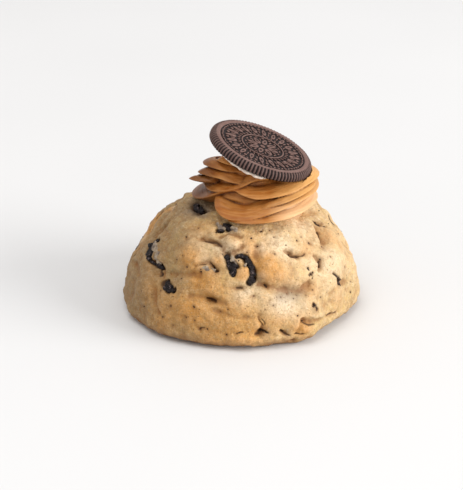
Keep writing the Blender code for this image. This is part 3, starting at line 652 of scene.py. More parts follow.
def hollows(points):
    """How far the small features sink the dough, and how much painted shade they get, on the plain dome."""
    ragged = 1 + RAGGED_SHARE * wander(points, RAGGED_SIZE, 3.0)
    sink, dark = np.zeros(len(points)), np.zeros(len(points))
    # The second value is painted shade: pockets round the chunks, the grooves of shards and the cuts of
    # creases
    for half_width, route in (bit for bits in CHUNKS for bit in bits):
        near = distance_to_route(points, route) / (half_width * MM + POCKET_MARGIN) * ragged
        sink = np.maximum(sink, POCKET_DEPTH / (1 + near ** 5))
        dark = np.maximum(dark, 1 / (1 + near ** 6))
    for half_width, route in SLIVERS:
        away = distance_to_route(points, route) * ragged
        near = np.exp(-(away / (half_width * MM + SLIVER_MARGIN)) ** 4)
        sink = np.maximum(sink, SLIVER_DEPTH * near)
        dark = np.maximum(dark, SLIVER_SHADE * near)
    for width, depth, route in CREASES:
        away = distance_to_route(points, route) * ragged / (width * MM)
        to_end = np.minimum(*(distance_to_spot(points, *end) for end in (route[0], route[-1])))
        fade = END_SHARE + (1 - END_SHARE) * smoothstep(to_end, 0.0, END_FADE)
        cut = fade * bell(away, fade)
        sink += depth * MM * (CUT_SHARE * cut + (1 - CUT_SHARE) * fade * bell(away, DIP_WIDTH))
        dark = np.maximum(dark, cut)
    for azimuth, elevation, length in SPECKS:
        away = distance_to_spot(points, azimuth, elevation)
        sink += PIT_DEPTH * bell(away, PIT_SHARE * length * MM + PIT_MARGIN)
    return sink, dark


def ball_grid(squares):
    """Six square grids bent into a ball: even squares, no poles."""
    steps = np.tan(np.linspace(-math.pi / 4, math.pi / 4, squares + 1))
    u, v = np.meshgrid(steps, steps, indexing="ij")
    number = np.arange(u.size).reshape(u.shape)
    squares_of_side = np.stack([number[:-1, :-1], number[1:, :-1], number[1:, 1:], number[:-1, 1:]], -1)
    points, faces = [], []
    for axis in range(3):
        for sign in (1, -1):
            side = np.stack([np.full_like(u, sign), u, v * sign], -1).reshape(-1, 3)
            faces.append(squares_of_side.reshape(-1, 4) + len(points) * u.size)
            points.append(np.roll(side, axis, axis=-1))
    points, faces = np.concatenate(points), np.concatenate(faces)
    _, first, same = np.unique(np.round(points, 6), axis=0, return_index=True, return_inverse=True)
    points = points[first]
    return points / np.linalg.norm(points, axis=1)[:, None], same.reshape(-1)[faces]


GRID_SQUARES = 146
# A shift of the rays to the front and upwards makes the squares smaller where the picture looks
FINER_TOWARDS = np.array([0, -0.75, 0.66]) * 0.25
CORE = np.array([0, 0, CORE_HEIGHT])
rays, dough_faces = ball_grid(GRID_SQUARES)
rays = rays + FINER_TOWARDS
rays /= np.linalg.norm(rays, axis=1)[:, None]
dome = rays * dome_radius(rays)[:, None]
dough_points = rays * (crust_radius(rays) - hollows(dome)[0])[:, None] + CORE
dough = new_piece("dough", dough_points, dough_faces)
print("ball of dough:", triangles(dough), "triangles")

# %% Cutting the ball flat where it sat on the tray


def cut_flat(piece):
    """Takes off what is below z = 0, and closes the cut with one face."""
    form = bmesh.new()
    form.from_mesh(piece.data)
    everything = form.verts[:] + form.edges[:] + form.faces[:]
    cut = bmesh.ops.bisect_plane(
        form, geom=everything, dist=1e-7, plane_co=(0, 0, 0), plane_no=(0, 0, -1), clear_outer=True)
    rim = [part for part in cut["geom_cut"] if isinstance(part, bmesh.types.BMEdge)]
    bmesh.ops.contextual_create(form, geom=rim)
    for face in form.faces:
        face.smooth = True
    form.to_mesh(piece.data)
    form.free()


cut_flat(dough)
print("dough after the cut:", triangles(dough), "triangles")

# %% [markdown]
# ## Where the crust is toasted, floury or sooty, and where shade is painted
# Baking browns the dough in patches: tops of lumps turn orange, sheltered spots stay pale, and
# crushed biscuit leaves grey smears; the same grey is painted shade beside the icing's foot. Each patch is a
# soft spot on the surface. On the sides that face away, noise spreads patches of the same size. Pockets,
# shards and crease cuts get painted shade. The values are kept on the points.

# %% Patches on the crust

# Azimuth, elevation, radius in mm, strength
TOASTED = (
    (181.5, 26.5, 7, .7), (238, 36, 7, 1), (234.5, 52, 6, .5), (244.5, 10.5, 8, 1),
    (252.5, 25, 9, .7), (284, 35.5, 7, 1), (315, 36.5, 5, .8), (308, 18, 5, .8), (293, 24, 8, .6),
    (300, 1, 5, .9), (341.5, 36.5, 6, .6), (343, 28, 5, .5), (272, 14, 7, .6), (271, 30, 3.5, 1.4),
    (255.5, 36.5, 3, .7), (233, 13.5, 7, .4), (219, 14, 8, .4), (230, 2, 9, .6),
    (257.5, 1.5, 12, .7), (274, 0, 10, .7), (293, 4.5, 8, .4), (324.5, 7.5, 7, .4),
    (262, 18, 7, .3), (4, 32, 5, .5), (285.5, 30.5, 6, .7), (280, 38, 4, .6), (208.5, 25, 5, .3),
    (288.5, 9, 6, .4), (275, 44, 7, .9), (246, 26, 5, .7), (262, 12, 5, .3), (283, 6, 6, .3),
    (263, 48, 5, .4),
)
FLOURY = (
    (290, 15, 7, 1), (298.5, 40.5, 6, .8), (283.5, 42.5, 4, .6), (327, 50.5, 9, .7),
    (247.5, 35, 4, .35), (261.5, 40.5, 4, .4), (237.5, 45, 6, .3), (268, 44, 6, .6),
    (296.5, 13.5, 7, .6), (322, 23.5, 8, .5), (256.5, 44, 4, .6), (330.5, 28, 6, .4),
    (274.5, 22, 7, .5), (294.5, 46, 7, .5), (246, 41, 5, .3), (337, 22, 6, .4), (313, 30.5, 5, .5),
    (269.5, 19.5, 5, .4),
)
# Grey smears of crushed biscuit; the two rows at azimuth 196 and 207 are painted shade beside the icing's
# foot
SOOT_AND_SHADE_PATCHES = (
    (293, 18, 4.5, 1), (299.5, 17, 4, .9), (304, 17.5, 3, .6), (288.5, 18, 3, .6), (279, 25, 3, .7),
    (281, 28.5, 2.5, .5), (223, 61, 3, .8), (262, 53.5, 3, .8), (254.5, 31, 2.5, .5),
    (256, 46.5, 3, .4), (209.5, 29.5, 3, .6), (264, 39, 3, .6), (281.5, 1, 3, .6),
    (291.5, -.5, 2.5, .6), (60, 36, 4, .7), (95, 17, 3, .7), (120, 44, 4, .6), (150, 26, 4, .7),
    (26, 22, 3, .6), (196, 63.5, 9, 1), (207, 63, 6, .9),
)
# A patch fades out softly, so its bell is a little narrower than the radius in its row
PATCH_WIDTH = 0.8
# How toasted and how floury the far side is at most, and the size of its patches
FAR_TOAST, FAR_TOAST_SIZE, FAR_FLOUR, FAR_FLOUR_SIZE = 0.85, 11 * MM, 0.6, 9 * MM
# The dough round a speck is stained over a share of the speck's length and a margin in mm
STAIN_SHARE, STAIN_MARGIN, STAIN_STRENGTH = 0.7, 0.2, 0.6


def patches(points, table):
    total = np.zeros(len(points))
    for azimuth, elevation, reach, strength in table:
        away = distance_to_spot(points, azimuth, elevation)
        total += strength * bell(away, PATCH_WIDTH * reach * MM)
    return total


def paint_crust(piece):
    points = points_of(piece) - CORE
    rays = points / np.linalg.norm(points, axis=1)[:, None]
    dome = rays * dome_radius(rays)[:, None]
    facing = smoothstep(-rays[:, 1] / np.hypot(rays[:, 0], rays[:, 1]), -0.12, 0.12)
    spread = smoothstep(wander(dome, FAR_TOAST_SIZE, 8.0), 0.05, 0.45)
    pale = smoothstep(wander(dome, FAR_FLOUR_SIZE, 21.0), 0.1, 0.5)
    set_values(piece, "toasted", facing * patches(dome, TOASTED) + (1 - facing) * FAR_TOAST * spread)
    set_values(piece, "floury", facing * patches(dome, FLOURY) + (1 - facing) * FAR_FLOUR * pale)
    set_values(piece, "sooty", patches(dome, SOOT_AND_SHADE_PATCHES))
    # Painted shade in pockets, shard grooves and crease cuts
    set_values(piece, "hollow", hollows(dome)[1])
    stains = [(azimuth, elevation, STAIN_SHARE * length + STAIN_MARGIN, STAIN_STRENGTH)
              for azimuth, elevation, length in SPECKS]
    set_values(piece, "stain", np.clip(patches(dome, stains), 0, 1))
    above_floor = smoothstep(points_of(piece)[:, 2], 1.0 * MM, 4.0 * MM)
    below_icing = smoothstep(rays[:, 2], 0.85, 0.7)
    set_values(piece, "bare", (1 - facing) * above_floor * below_icing)


paint_crust(dough)
print("painted", len(dough.data.vertices), "points")

# %% [markdown]
# ## Fine crust with Geometry Nodes
# Up close the crust isn't smooth: it has swells, small rounded lumps with valleys between them,
# and grain. A Geometry Nodes tree moves every point along its normal by a texture of each size.
# It could be three Displace modifiers, but the tree keeps all the sizes as named inputs.

# %% A tree that roughens a baked surface


def start_tree(name, inputs):
    """A Geometry Nodes tree with named inputs; returns it, its given sockets and its output."""
    tree = bpy.data.node_groups.new(name, "GeometryNodeTree")
    tree.interface.new_socket("Geometry", in_out="INPUT", socket_type="NodeSocketGeometry")
    for label, kind in inputs:
        tree.interface.new_socket(label, in_out="INPUT", socket_type="NodeSocket" + kind)
    tree.interface.new_socket("Geometry", in_out="OUTPUT", socket_type="NodeSocketGeometry")
    source = tree.nodes.new("NodeGroupInput")
    given = {socket.name: Flow(tree, socket) for socket in source.outputs if socket.name}
    return tree, given, Flow(tree)


def end_tree(flow, geometry, material):
    """Every tree ends in real mesh with its material."""
    real = flow.make("GeometryNodeRealizeInstances", None, {"Geometry": geometry})
    dressed = flow.make("GeometryNodeSetMaterial", None, {"Geometry": real, "Material": material})
    sink = flow.tree.nodes.new("NodeGroupOutput")
    flow.tree.links.new(dressed.socket, sink.inputs[0])
    return flow.tree


def grow(piece, tree, **values):
    """Runs a tree on a piece and keeps the result as plain mesh."""
    modifier = piece.modifiers.new(tree.name, "NODES")
    modifier.node_group = tree
    for item in tree.interface.items_tree:
        label = item.name.replace(" ", "_")
        if item.in_out == "INPUT" and label in values:
            modifier[item.identifier] = values[label]
    return apply_modifiers(piece)


# How far the cells of the lumps are bent, and the mean distance in them; the relief sets in over
# this height, so that the rim of the underside stays flat on the floor
LUMP_BEND, MEAN_CELL, SMOOTH_BELOW = 3.0 * MM, 0.42, 1.2 * MM


def crust_tree():
    tree, given, flow = start_tree("Baked crust", (
        ("Swell Depth", "Float"), ("Swell Size", "Float"), ("Lump Depth", "Float"),
        ("Lump Size", "Float"), ("Grain Depth", "Float"), ("Grain Size", "Float"),
        ("Material", "Material")))
    place = flow.make("GeometryNodeInputPosition")
    normal = flow.make("GeometryNodeInputNormal")
    scale = {label: 1.0 / given[label + " Size"] for label in ("Swell", "Lump", "Grain")}
    swell = flow.make("ShaderNodeTexNoise", None, {
        "Vector": place, "Scale": scale["Swell"], "Detail": 4.0, "Roughness": 0.5})
    bent = flow.make("ShaderNodeTexNoise", None, {
        "Vector": place, "Scale": scale["Swell"] * 2.0, "Detail": 1.0}, out="Color")
    bent = flow.make("ShaderNodeVectorMath", {"operation": "SCALE"}, {0: bent, "Scale": LUMP_BEND})
    bent = flow.make("ShaderNodeVectorMath", {"operation": "ADD"}, {0: place, 1: bent})
    lump = flow.make("ShaderNodeTexVoronoi", {"feature": "SMOOTH_F1"}, {
        "Vector": bent, "Scale": scale["Lump"], "Smoothness": 0.35}, out="Distance")
    grain = flow.make("ShaderNodeTexNoise", None, {
        "Vector": place, "Scale": scale["Grain"], "Detail": 3.0, "Roughness": 0.6})
    rise = (swell - 0.5) * given["Swell Depth"] + (grain - 0.5) * given["Grain Depth"]
    rise = rise + (MEAN_CELL - lump) * given["Lump Depth"]
    above_floor = place.along("Z").step(0.0, SMOOTH_BELOW)
    offset = flow.make("ShaderNodeVectorMath", {"operation": "SCALE"}, {
        0: normal, "Scale": rise * above_floor})
    moved = flow.make("GeometryNodeSetPosition", None, {"Geometry": given["Geometry"], "Offset": offset})
    return end_tree(flow, moved, given["Material"])


crust = crust_tree()


def roughen(piece, material, **relief):
    """Runs the tree; Swell, Lump and Grain each give a depth and a size in mm."""
    sizes = {}
    for label, (depth, size) in relief.items():
        sizes |= {label + "_Depth": depth * MM, label + "_Size": size * MM}
    return grow(piece, crust, Material=material, **sizes)


print("inputs:", [item.name for item in crust.interface.items_tree])

# %% [markdown]
# ## How sunken each spot is
# Dough and icing get painted shade where they are sunken. The difference between a point and the
# middle of its neighbours, measured along the normal, tells a hollow from a bulge, and a few
# rounds of averaging spread it over a natural width.

# %% A measure of hollowness


def hollowness(piece, rounds, spread):
    """Above 0 in a crease, below 0 on a crest, in metres."""
    pairs = np.array([edge.vertices[:] for edge in piece.data.edges])
    count = np.bincount(pairs.ravel(), minlength=len(piece.data.vertices)).clip(1)

    def average(values):
        total = np.zeros_like(values)
        np.add.at(total, pairs[:, 0], values[pairs[:, 1]])
        np.add.at(total, pairs[:, 1], values[pairs[:, 0]])
        return total / (count[:, None] if values.ndim == 2 else count)

    points = points_of(piece)
    middle = points
    for _ in range(rounds):
        middle = average(middle)
    depth = ((middle - points) * normals_of(piece)).sum(1)
    for _ in range(spread):
        depth = average(depth)
    return depth


print("hollowness can be measured")

# %% [markdown]
# ## The finish of the dough
# The colour starts as pale gold with tan mottling. The patches stored on the points mix in
# toasted orange, chalky flour and grey soot, each broken up by noise so that no edge is a clean
# circle; some of the grey is painted shade beside the icing. Hollows, pockets and cracks get painted
# shade, the left side gets painted shade and the right side painted light, and lump crests get a
# painted highlight in chalk. The edge that touched the tray is browner, and tiny freckles come
# from cell noise. It could be painted by hand, but noise holds up from every side and distance.

# %% Dough material
GOLD, ROSE_GOLD, STRAW = tint(200, 169, 119), tint(195, 159, 108), tint(201, 172, 111)
OLIVE_TAN, OLIVE_BROWN = tint(164, 134, 90), tint(142, 112, 70)
# The shaded tan on this line is painted shade for the left side, and the pale crust is painted light for the
# right side
SHADED_SIDE_TAN, LIT_SIDE_PALE = tint(114, 87, 54), tint(240, 214, 180)
# Deep toast colours the tray edge and grit, and is also painted shade in recesses; chalk is also a painted
# highlight on crests
TOAST, DEEP_TOAST_AND_SHADE, CHALK_AND_HIGHLIGHT = tint(198, 140, 66), tint(132, 82, 38), tint(236, 217, 186)
# Soot grey also paints shade beside the icing, and crease brown paints shade in pockets and cracks
SOOT_AND_SHADE_GREY, CREASE_SHADE_BROWN, STAIN_BROWN = tint(104, 96, 92), tint(62, 38, 20), tint(110, 68, 34)

# Size in mm, detail and roughness of each noise, from the broadest to the finest
DOUGH_NOISES = ((6, 4.0, 0.6), (4.2, 5.0, 0.65), (3.1, 4.0, 0.6), (1.9, 5.0, 0.7), (1.3, 5.0, 0.7),
                (0.85, 3.0, 0.6), (0.6, 2.0, 0.6))
FRECKLE_SPACING, FRECKLED_AREAS = 1.9 * MM, 9 * MM
# The hollowness, in metres, at which a spot gets full painted shade as a recess, or counts as fully raised
RECESS_SHADE_AT, RAISED_AT = 0.25 * MM, 0.3 * MM


def dough_finish():
    material, shader, flow = new_finish("baked_dough", 0.6, Specular_IOR_Level=0.3)
    place = flow.place()
    height, across = place.along("Z"), place.along("X")
    toasted, floury, sooty, hollow, stain, sheltered, crest = (flow.stored(label) for label in (
        "toasted", "floury", "sooty", "hollow", "stain", "sheltered", "raised"))
    broad, patchy, middling, flecked, fine, pores, grit = (
        flow.mottle(place, size * MM, detail, rough) for size, detail, rough in DOUGH_NOISES)

    # Painted shade: the left side, away from the lamp, is darkened twice with a shaded tan
    left = (across + (broad - 0.5) * 14 * MM).step(8 * MM, -44 * MM)
    # Painted light: the right side, towards the lamp and above the foot, is paled
    right = (across + (middling - 0.5) * 12 * MM).step(4 * MM, 26 * MM) * height.step(4 * MM, 20 * MM)
    tray_edge = (height + (broad - 0.5) * 6 * MM).step(6 * MM, 0.3 * MM)
    patches_here = middling * 1.1 + flecked * 1.3 + fine * 0.8 + crest * 0.6 - 0.75
    cells = flow.make("ShaderNodeTexVoronoi", {"feature": "F1"}, {
        "Vector": place, "Scale": 1 / FRECKLE_SPACING, "Randomness": 1.0}, out="Distance")
    freckles = cells.step(0.2, 0.08) * flow.mottle(place, FRECKLED_AREAS).step(0.4, 0.52)
    colour = layered(ROSE_GOLD, (
        (broad.step(0.38, 0.62), 1.0, STRAW),
        (middling.step(0.35, 0.65), 1.0, GOLD),
        (patchy.step(0.48, 0.6), 0.7, OLIVE_TAN),
        (flecked.step(0.46, 0.34), 0.45, OLIVE_TAN),
        (flecked.step(0.54, 0.68), 0.5, CHALK_AND_HIGHLIGHT),
        (left, 0.7, SHADED_SIDE_TAN),
        (toasted * patches_here, 1.0, TOAST),
        # Floury patches, and a painted highlight in chalk on the crests of small lumps
        ((floury + crest * 0.25) * (fine * 1.5 - 0.1), 1.0, CHALK_AND_HIGHLIGHT),
        (fine.step(0.5, 0.68), 0.4, TOAST),
        (fine.step(0.47, 0.32), 0.5, OLIVE_BROWN),
        (pores.step(0.45, 0.32), 0.4, OLIVE_BROWN),
        (grit.step(0.52, 0.72), 0.2, CHALK_AND_HIGHLIGHT),
        (grit.step(0.46, 0.28), 0.35, DEEP_TOAST_AND_SHADE),
        (left, 0.25, SHADED_SIDE_TAN),
        (tray_edge * (0.35 + fine * 0.7), 1.0, DEEP_TOAST_AND_SHADE),
        (right, 0.16, LIT_SIDE_PALE),
        # Grey smears of biscuit, and painted shade beside the icing
        ((sooty * (0.3 + fine)).clamped(), 0.55, SOOT_AND_SHADE_GREY),
        (freckles, 0.6, STAIN_BROWN),
        (stain * (0.3 + grit * 0.7), 1.0, STAIN_BROWN),
        # Painted shade in the recesses of the crust
        (sheltered, 0.6, DEEP_TOAST_AND_SHADE),
        # Painted shade in pockets, shard grooves and crease cuts
        (hollow.step(0.25, 0.95), 0.9, CREASE_SHADE_BROWN),
    ))
    relief = middling * 1.1 + flecked * 0.9 + fine * 0.6 + grit * 0.25
    dress(shader, colour, 0.5 + 0.25 * fine, relief, 0.9, 0.6 * MM)
    return material


roughen(dough, dough_finish(), Swell=(1.2, 6), Lump=(0.85, 4), Grain=(0.5, 1.5))
sunken = hollowness(dough, rounds=9, spread=2)
# Painted shade for recesses, and the raised crests that get toast and a painted highlight
set_values(dough, "sheltered", np.clip(sunken / RECESS_SHADE_AT, 0, 1))
set_values(dough, "raised", np.clip(-sunken / RAISED_AT, 0, 1))
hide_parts("cookie")
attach(dough, "root")
print("dough:", triangles(dough), "triangles")

# %% [markdown]
# ## Chunks of dark biscuit
# Biscuit breaks into angular bits with flat faces and crumbly edges. A bit starts as a ball that
# random planes shave flat. Each chunk is a row of such bits melted into one skin by a voxel
# remesh, and the tree made for the crust then gives it grain. Eleven chunks lie round the cookie,
# and a twelfth is a curved shard like a hook.

# %% Dark biscuit material


def biscuit_finish(name, deep, middle, dust, dusty):
    material, shader, flow = new_finish(name, 0.6, Specular_IOR_Level=0.25)
    place = flow.place()
    fine = flow.mottle(place, 0.7 * MM, 4.0, 0.7)
    broad = flow.mottle(place, 1.8 * MM)
    colour = layered(deep, (
        (fine.step(0.4, 0.62), 1.0, middle),
        (fine.step(0.52, 0.62) * broad.step(0.5, 0.6), dusty, dust),
    ))
    dress(shader, colour, 0.3 + 0.3 * broad, fine, 0.9, 0.35 * MM)
    return material


COCOA = tint(36, 26, 27)
dark_biscuit = biscuit_finish("dark_biscuit", tint(11, 6, 6), COCOA, tint(120, 104, 102), 0.85)
dark_crumb = biscuit_finish("dark_crumb", tint(36, 23, 15), tint(66, 44, 30), tint(108, 82, 62), 0.5)
print("materials:", dark_biscuit.name, dark_crumb.name)

# %% Broken bits
# A shaved ball is narrower than it was, so its radius is a little over half the size asked for
SHAVES, SHAVED_TO, BIT_RADIUS = 9, (0.5, 0.85), 0.55


def ball(rounds):
    """Points and faces of a ball of radius 1, its triangles split this many times."""
    form = bmesh.new()
    bmesh.ops.create_icosphere(form, subdivisions=rounds, radius=1)
    points = np.array([vert.co[:] for vert in form.verts])
    faces = [[vert.index for vert in face.verts] for face in form.faces]
    form.free()
    return points, faces


def broken_bit(size, draw, rounds):
    """A ball shaved by random planes, so that it has flat faces and blunt edges."""
    points, faces = ball(rounds)
    for _ in range(SHAVES):
        away = np.array([draw.gauss(0, 1) for _ in range(3)])
        away /= np.linalg.norm(away)
        over = np.clip(points @ away - draw.uniform(*SHAVED_TO), 0, None)
        points = points - over[:, None] * away
    return points * np.array(size) * BIT_RADIUS, faces


def place_points(points, matrix):
    turned = np.array(matrix)
    return points @ turned[:3, :3].T + turned[:3, 3]


def any_turn(draw):
    return Euler([draw.uniform(0, math.tau) for _ in range(3)]).to_matrix().to_4x4()


def smooth_path(points, step):
    """A smooth curve through rows of numbers, read every step of the first column."""
    rows = np.array(points, float)
    ends = np.vstack([2 * rows[0] - rows[1], rows, 2 * rows[-1] - rows[-2]])
    read = []
    for before, start, end, after in zip(ends, ends[1:], ends[2:], ends[3:]):
        count = max(1, math.ceil((end[0] - start[0]) / step))
        for t in np.arange(count) / count:
            bend = (-before + 3 * start - 3 * end + after) * t ** 3
            bend += (2 * before - 5 * start + 4 * end - after) * t ** 2
            read.append(0.5 * (bend + (end - before) * t + 2 * start))
    read.append(rows[-1])
    return np.array(read)


# The step is a share of the way between two places, and the rest is in half widths of the row
ROUTE_STEP, BIT_SPACING, BIT_SIZES, BIT_ASIDE, BIT_SUNK = 0.08, 0.55, (0.7, 1.3), 0.4, 0.25


def row_of_bits(half_width, route, frame_at, draw, rounds, depth, taper=0.0):
    """Broken bits close together along a route; frame_at gives the surface, depth their middle."""
    half, parts, last_spot = half_width * MM, [], None
    path = smooth_path([(i, *place) for i, place in enumerate(route)], ROUTE_STEP)[:, 1:]
    for i, place in enumerate(path):
        spot = frame_at(*place)
        near_last = last_spot and (spot.translation - last_spot).length < BIT_SPACING * half
        if near_last and i < len(path) - 1:
            continue
        last_spot = spot.translation.copy()
        share = i / (len(path) - 1)
        own = half * (1 - taper * abs(2 * share - 1) ** 2)
        size = [2 * own * draw.uniform(*BIT_SIZES) for _ in range(3)]
        points, faces = broken_bit(size, draw, rounds)
        aside = [draw.uniform(-most, most) for most in (BIT_ASIDE, BIT_ASIDE, BIT_SUNK)]
        offset = Vector((aside[0], aside[1], -depth + aside[2]))
        lie = spot @ Matrix.Translation(offset * own) @ any_turn(draw)
        parts.append((place_points(points, lie), faces))
    return parts


def join_lists(parts):
    """Several (points, faces) made one."""
    points = np.concatenate([part[0] for part in parts])
    faces, first = [], 0
    for own, corners in parts:
        faces += [[corner + first for corner in face] for face in corners]
        first += len(own)
    return points, faces


def melt(piece, voxel, rounds=1):
    """One skin over all that overlaps, with its steps smoothed."""
    remesh = piece.modifiers.new("One skin", "REMESH")
    remesh.mode = "VOXEL"
    remesh.voxel_size = voxel
    soften = piece.modifiers.new("Soften", "SMOOTH")
    soften.factor = 0.5
    soften.iterations = rounds
    return apply_modifiers(face_outwards(piece))


print("a bit has", len(broken_bit((1, 1, 1), random.Random(1), 3)[0]), "points")

# %% Chunks in their pockets
CHUNK_VOXEL, CHUNK_SEED = 0.2 * MM, 50
# The chunk in the shade of the icing lies deeper than the others
SHADED_CHUNK, SHADED_CHUNK_DEPTH, CHUNK_DEPTH = SHOWN_CHUNKS[4], 1.7, 1.0

for i, bits in enumerate(CHUNKS):
    draw = random.Random(CHUNK_SEED + i)
    depth = SHADED_CHUNK_DEPTH if bits is SHADED_CHUNK else CHUNK_DEPTH
    parts = [part for bit in bits for part in row_of_bits(*bit, surface_frame, draw, 3, depth)]
    name = "biscuit_hook" if bits is HOOK_BITS else f"biscuit_chunk_{i + 1}"
    chunk = melt(new_piece(name, *join_lists(parts)), CHUNK_VOXEL)
    roughen(chunk, dark_biscuit, Swell=(0.5, 1.6), Lump=(0.3, 1.0), Grain=(0.3, 0.6))
    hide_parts(f"chunk_{i + 1}")
    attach(chunk, "root")
    print(name, triangles(chunk), "triangles")

# %% [markdown]
# ## The finished crust as a place to lay things
# Crumbs are small, so they have to lie on the crust as it really is, grain and all. A search tree
# over its faces answers where a line from far outside towards the core first meets it.

# %% Frames on the finished crust
FAR_OUTSIDE = 0.2
crust_search = BVHTree.FromPolygons(
    [vert.co for vert in dough.data.vertices], [face.vertices[:] for face in dough.data.polygons])


def crust_frame(azimuth, elevation):
    """A frame on the finished crust, found by a line from well outside it to the core."""
    ray, core = Vector(direction(azimuth, elevation)), Vector((0, 0, CORE_HEIGHT))
    return frame_on(crust_search.ray_cast(core + FAR_OUTSIDE * ray, -ray)[0], azimuth, elevation)


print("crust found at", [round(v / MM, 1) for v in crust_frame(270, 20).translation], "mm")

# %% [markdown]
# ## Bits of biscuit cream
# Beside some chunks sit greyish lumps of the sandwich cream, smeared with cocoa. They are rounded,
# uneven lumps half sunk in the dough, made as the bits are but with a softer skin.

# %% Cream bits

# Half width in mm, then the azimuths and elevations along the lump
CREAM_BITS = (
    (1.5, ((204.5, 33.5), (206.5, 31.5))), (1.6, ((208, 31), (211.5, 28.5))),
    (0.9, ((212, 27), (213.5, 26.5))),
    (0.8, ((264.3, 39), (264.8, 37.5))), (0.5, ((266.2, 36.5), (266.8, 35.5))),
    (1.1, ((246.5, 57.5), (249, 56.3))), (0.7, ((252.5, 56.5), (253.5, 55.5))),
    (1.1, ((262.5, 56.2), (265.5, 55))), (0.8, ((247.3, 32), (250.3, 31.7))),
    (0.6, ((252.8, 31.9), (254, 31.5))),
    (0.5, ((273, 35.5), (272.5, 34.5))), (1.2, ((21, 28), (23.5, 28.5))), (1.0, ((56, 39), (58, 37.5))),
    (1.0, ((115, 51.5), (117.5, 50.5))), (1.1, ((145, 27.5), (147.5, 26.5))),
)
CREAM_VOXEL, CREAM_DEPTH, CREAM_SEED = 0.22 * MM, 0.5, 7


def cream_finish(name, white, grey, smear):
    material, shader, flow = new_finish(name, 0.5)
    place = flow.place()
    fine = flow.mottle(place, 0.6 * MM, 4.0, 0.65)
    broad = flow.mottle(place, 2.2 * MM)
    colour = layered(white, (
        (broad.step(0.35, 0.65), 1.0, grey),
        (fine.step(0.55, 0.7), smear, COCOA),
    ))
    dress(shader, colour, 0.42 + 0.2 * fine, fine, 0.4, 0.2 * MM)
    return material


smeared_cream = cream_finish("smeared_cream", tint(168, 150, 126), tint(112, 97, 84), 0.8)
draw = random.Random(CREAM_SEED)
parts = [part for lump in CREAM_BITS for part in row_of_bits(*lump, surface_frame, draw, 3, CREAM_DEPTH)]
cream_bits = melt(new_piece("cream_bits", *join_lists(parts)), CREAM_VOXEL, 3)
roughen(cream_bits, smeared_cream, Swell=(0.4, 2), Lump=(0.2, 1.2), Grain=(0.15, 0.7))
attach(cream_bits, "root")
print("cream bits:", len(CREAM_BITS), "in", triangles(cream_bits), "triangles")

# %% [markdown]
# ## Crumbs and specks
# Small crumbs and slender shards of the same biscuit are baked into the surface. Those on the side
# that the picture shows are placed one by one. On the other sides a Geometry Nodes tree scatters
# them: points spread over the dough by a stored mask, and on each a chip turned at random.

# %% Crumbs placed one by one

# Azimuth, elevation, length in mm
CRUMBS = (
    (253, 33.5, 1.6), (246, 31, 1.2), (301, 42, 1.1), (234, 14.5, 1.0), (268.5, 37, 1.4), (248, 52, 1.2),
)
BACK_CRUMBS, BACK_CRUMB_START, BACK_CRUMB_TURN = 12, 30, 11.0
BACK_CRUMB_ELEVATION, BACK_CRUMB_LENGTH, CRUMB_CLEARANCE = (4, 46), (1.4, 3), 7.5 * MM
BACK_CRUMB_SEED, CRUMB_SEED = 6, 3
SLIVER_SUNK, SLIVER_TAPER = 0.25, 0.55
# A speck shorter than this many mm shows only a share of its length
LARGE_CRUMB, SPECK_SHARE, CRUMB_WIDTH, CRUMB_HEIGHT, CRUMB_SUNK = 2, 0.7, (0.5, 0.9), 0.7, 0.1


def all_crumbs():
    """The crumbs that show, then others round the back where no chunk is near."""
    draw = random.Random(BACK_CRUMB_SEED)
    places = list(CRUMBS)
    taken = [dome_point(*bits[0][1][0]) for bits in CHUNKS]
    for i in range(BACK_CRUMBS):
        azimuth = BACK_CRUMB_START + BACK_CRUMB_TURN * i
        elevation = draw.uniform(*BACK_CRUMB_ELEVATION)
        length = draw.uniform(*BACK_CRUMB_LENGTH)
        if min(math.dist(dome_point(azimuth, elevation), place) for place in taken) > CRUMB_CLEARANCE:
            places.append((azimuth, elevation, length))
    return places


draw = random.Random(CRUMB_SEED)
parts = [part for shard in SLIVERS
         for part in row_of_bits(*shard, crust_frame, draw, 2, SLIVER_SUNK, SLIVER_TAPER)]
for azimuth, elevation, length in (*all_crumbs(), *SPECKS):
    own = length * MM * (SPECK_SHARE if length < LARGE_CRUMB else 1)
    points, faces = broken_bit((own, own * draw.uniform(*CRUMB_WIDTH), own * CRUMB_HEIGHT), draw, 2)
    lie = crust_frame(azimuth, elevation) @ Matrix.Translation((0, 0, -CRUMB_SUNK * own))
    lie = lie @ Matrix.Rotation(draw.uniform(0, math.tau), 4, "Z")
    parts.append((place_points(points, lie), faces))
crumbs = new_piece("biscuit_crumbs", *join_lists(parts))
crumbs.data.materials.append(dark_crumb)
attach(crumbs, "root")
print("crumbs placed:", len(parts), "in", triangles(crumbs), "triangles")

# %% Specks scattered on the other sides
# More points than the spacing leaves room for, in points per square metre
MOST_SPECKS = 60000.0
CHIP_SIZE, CHIP_SEED = (0.6, 1.0, 0.7), 33


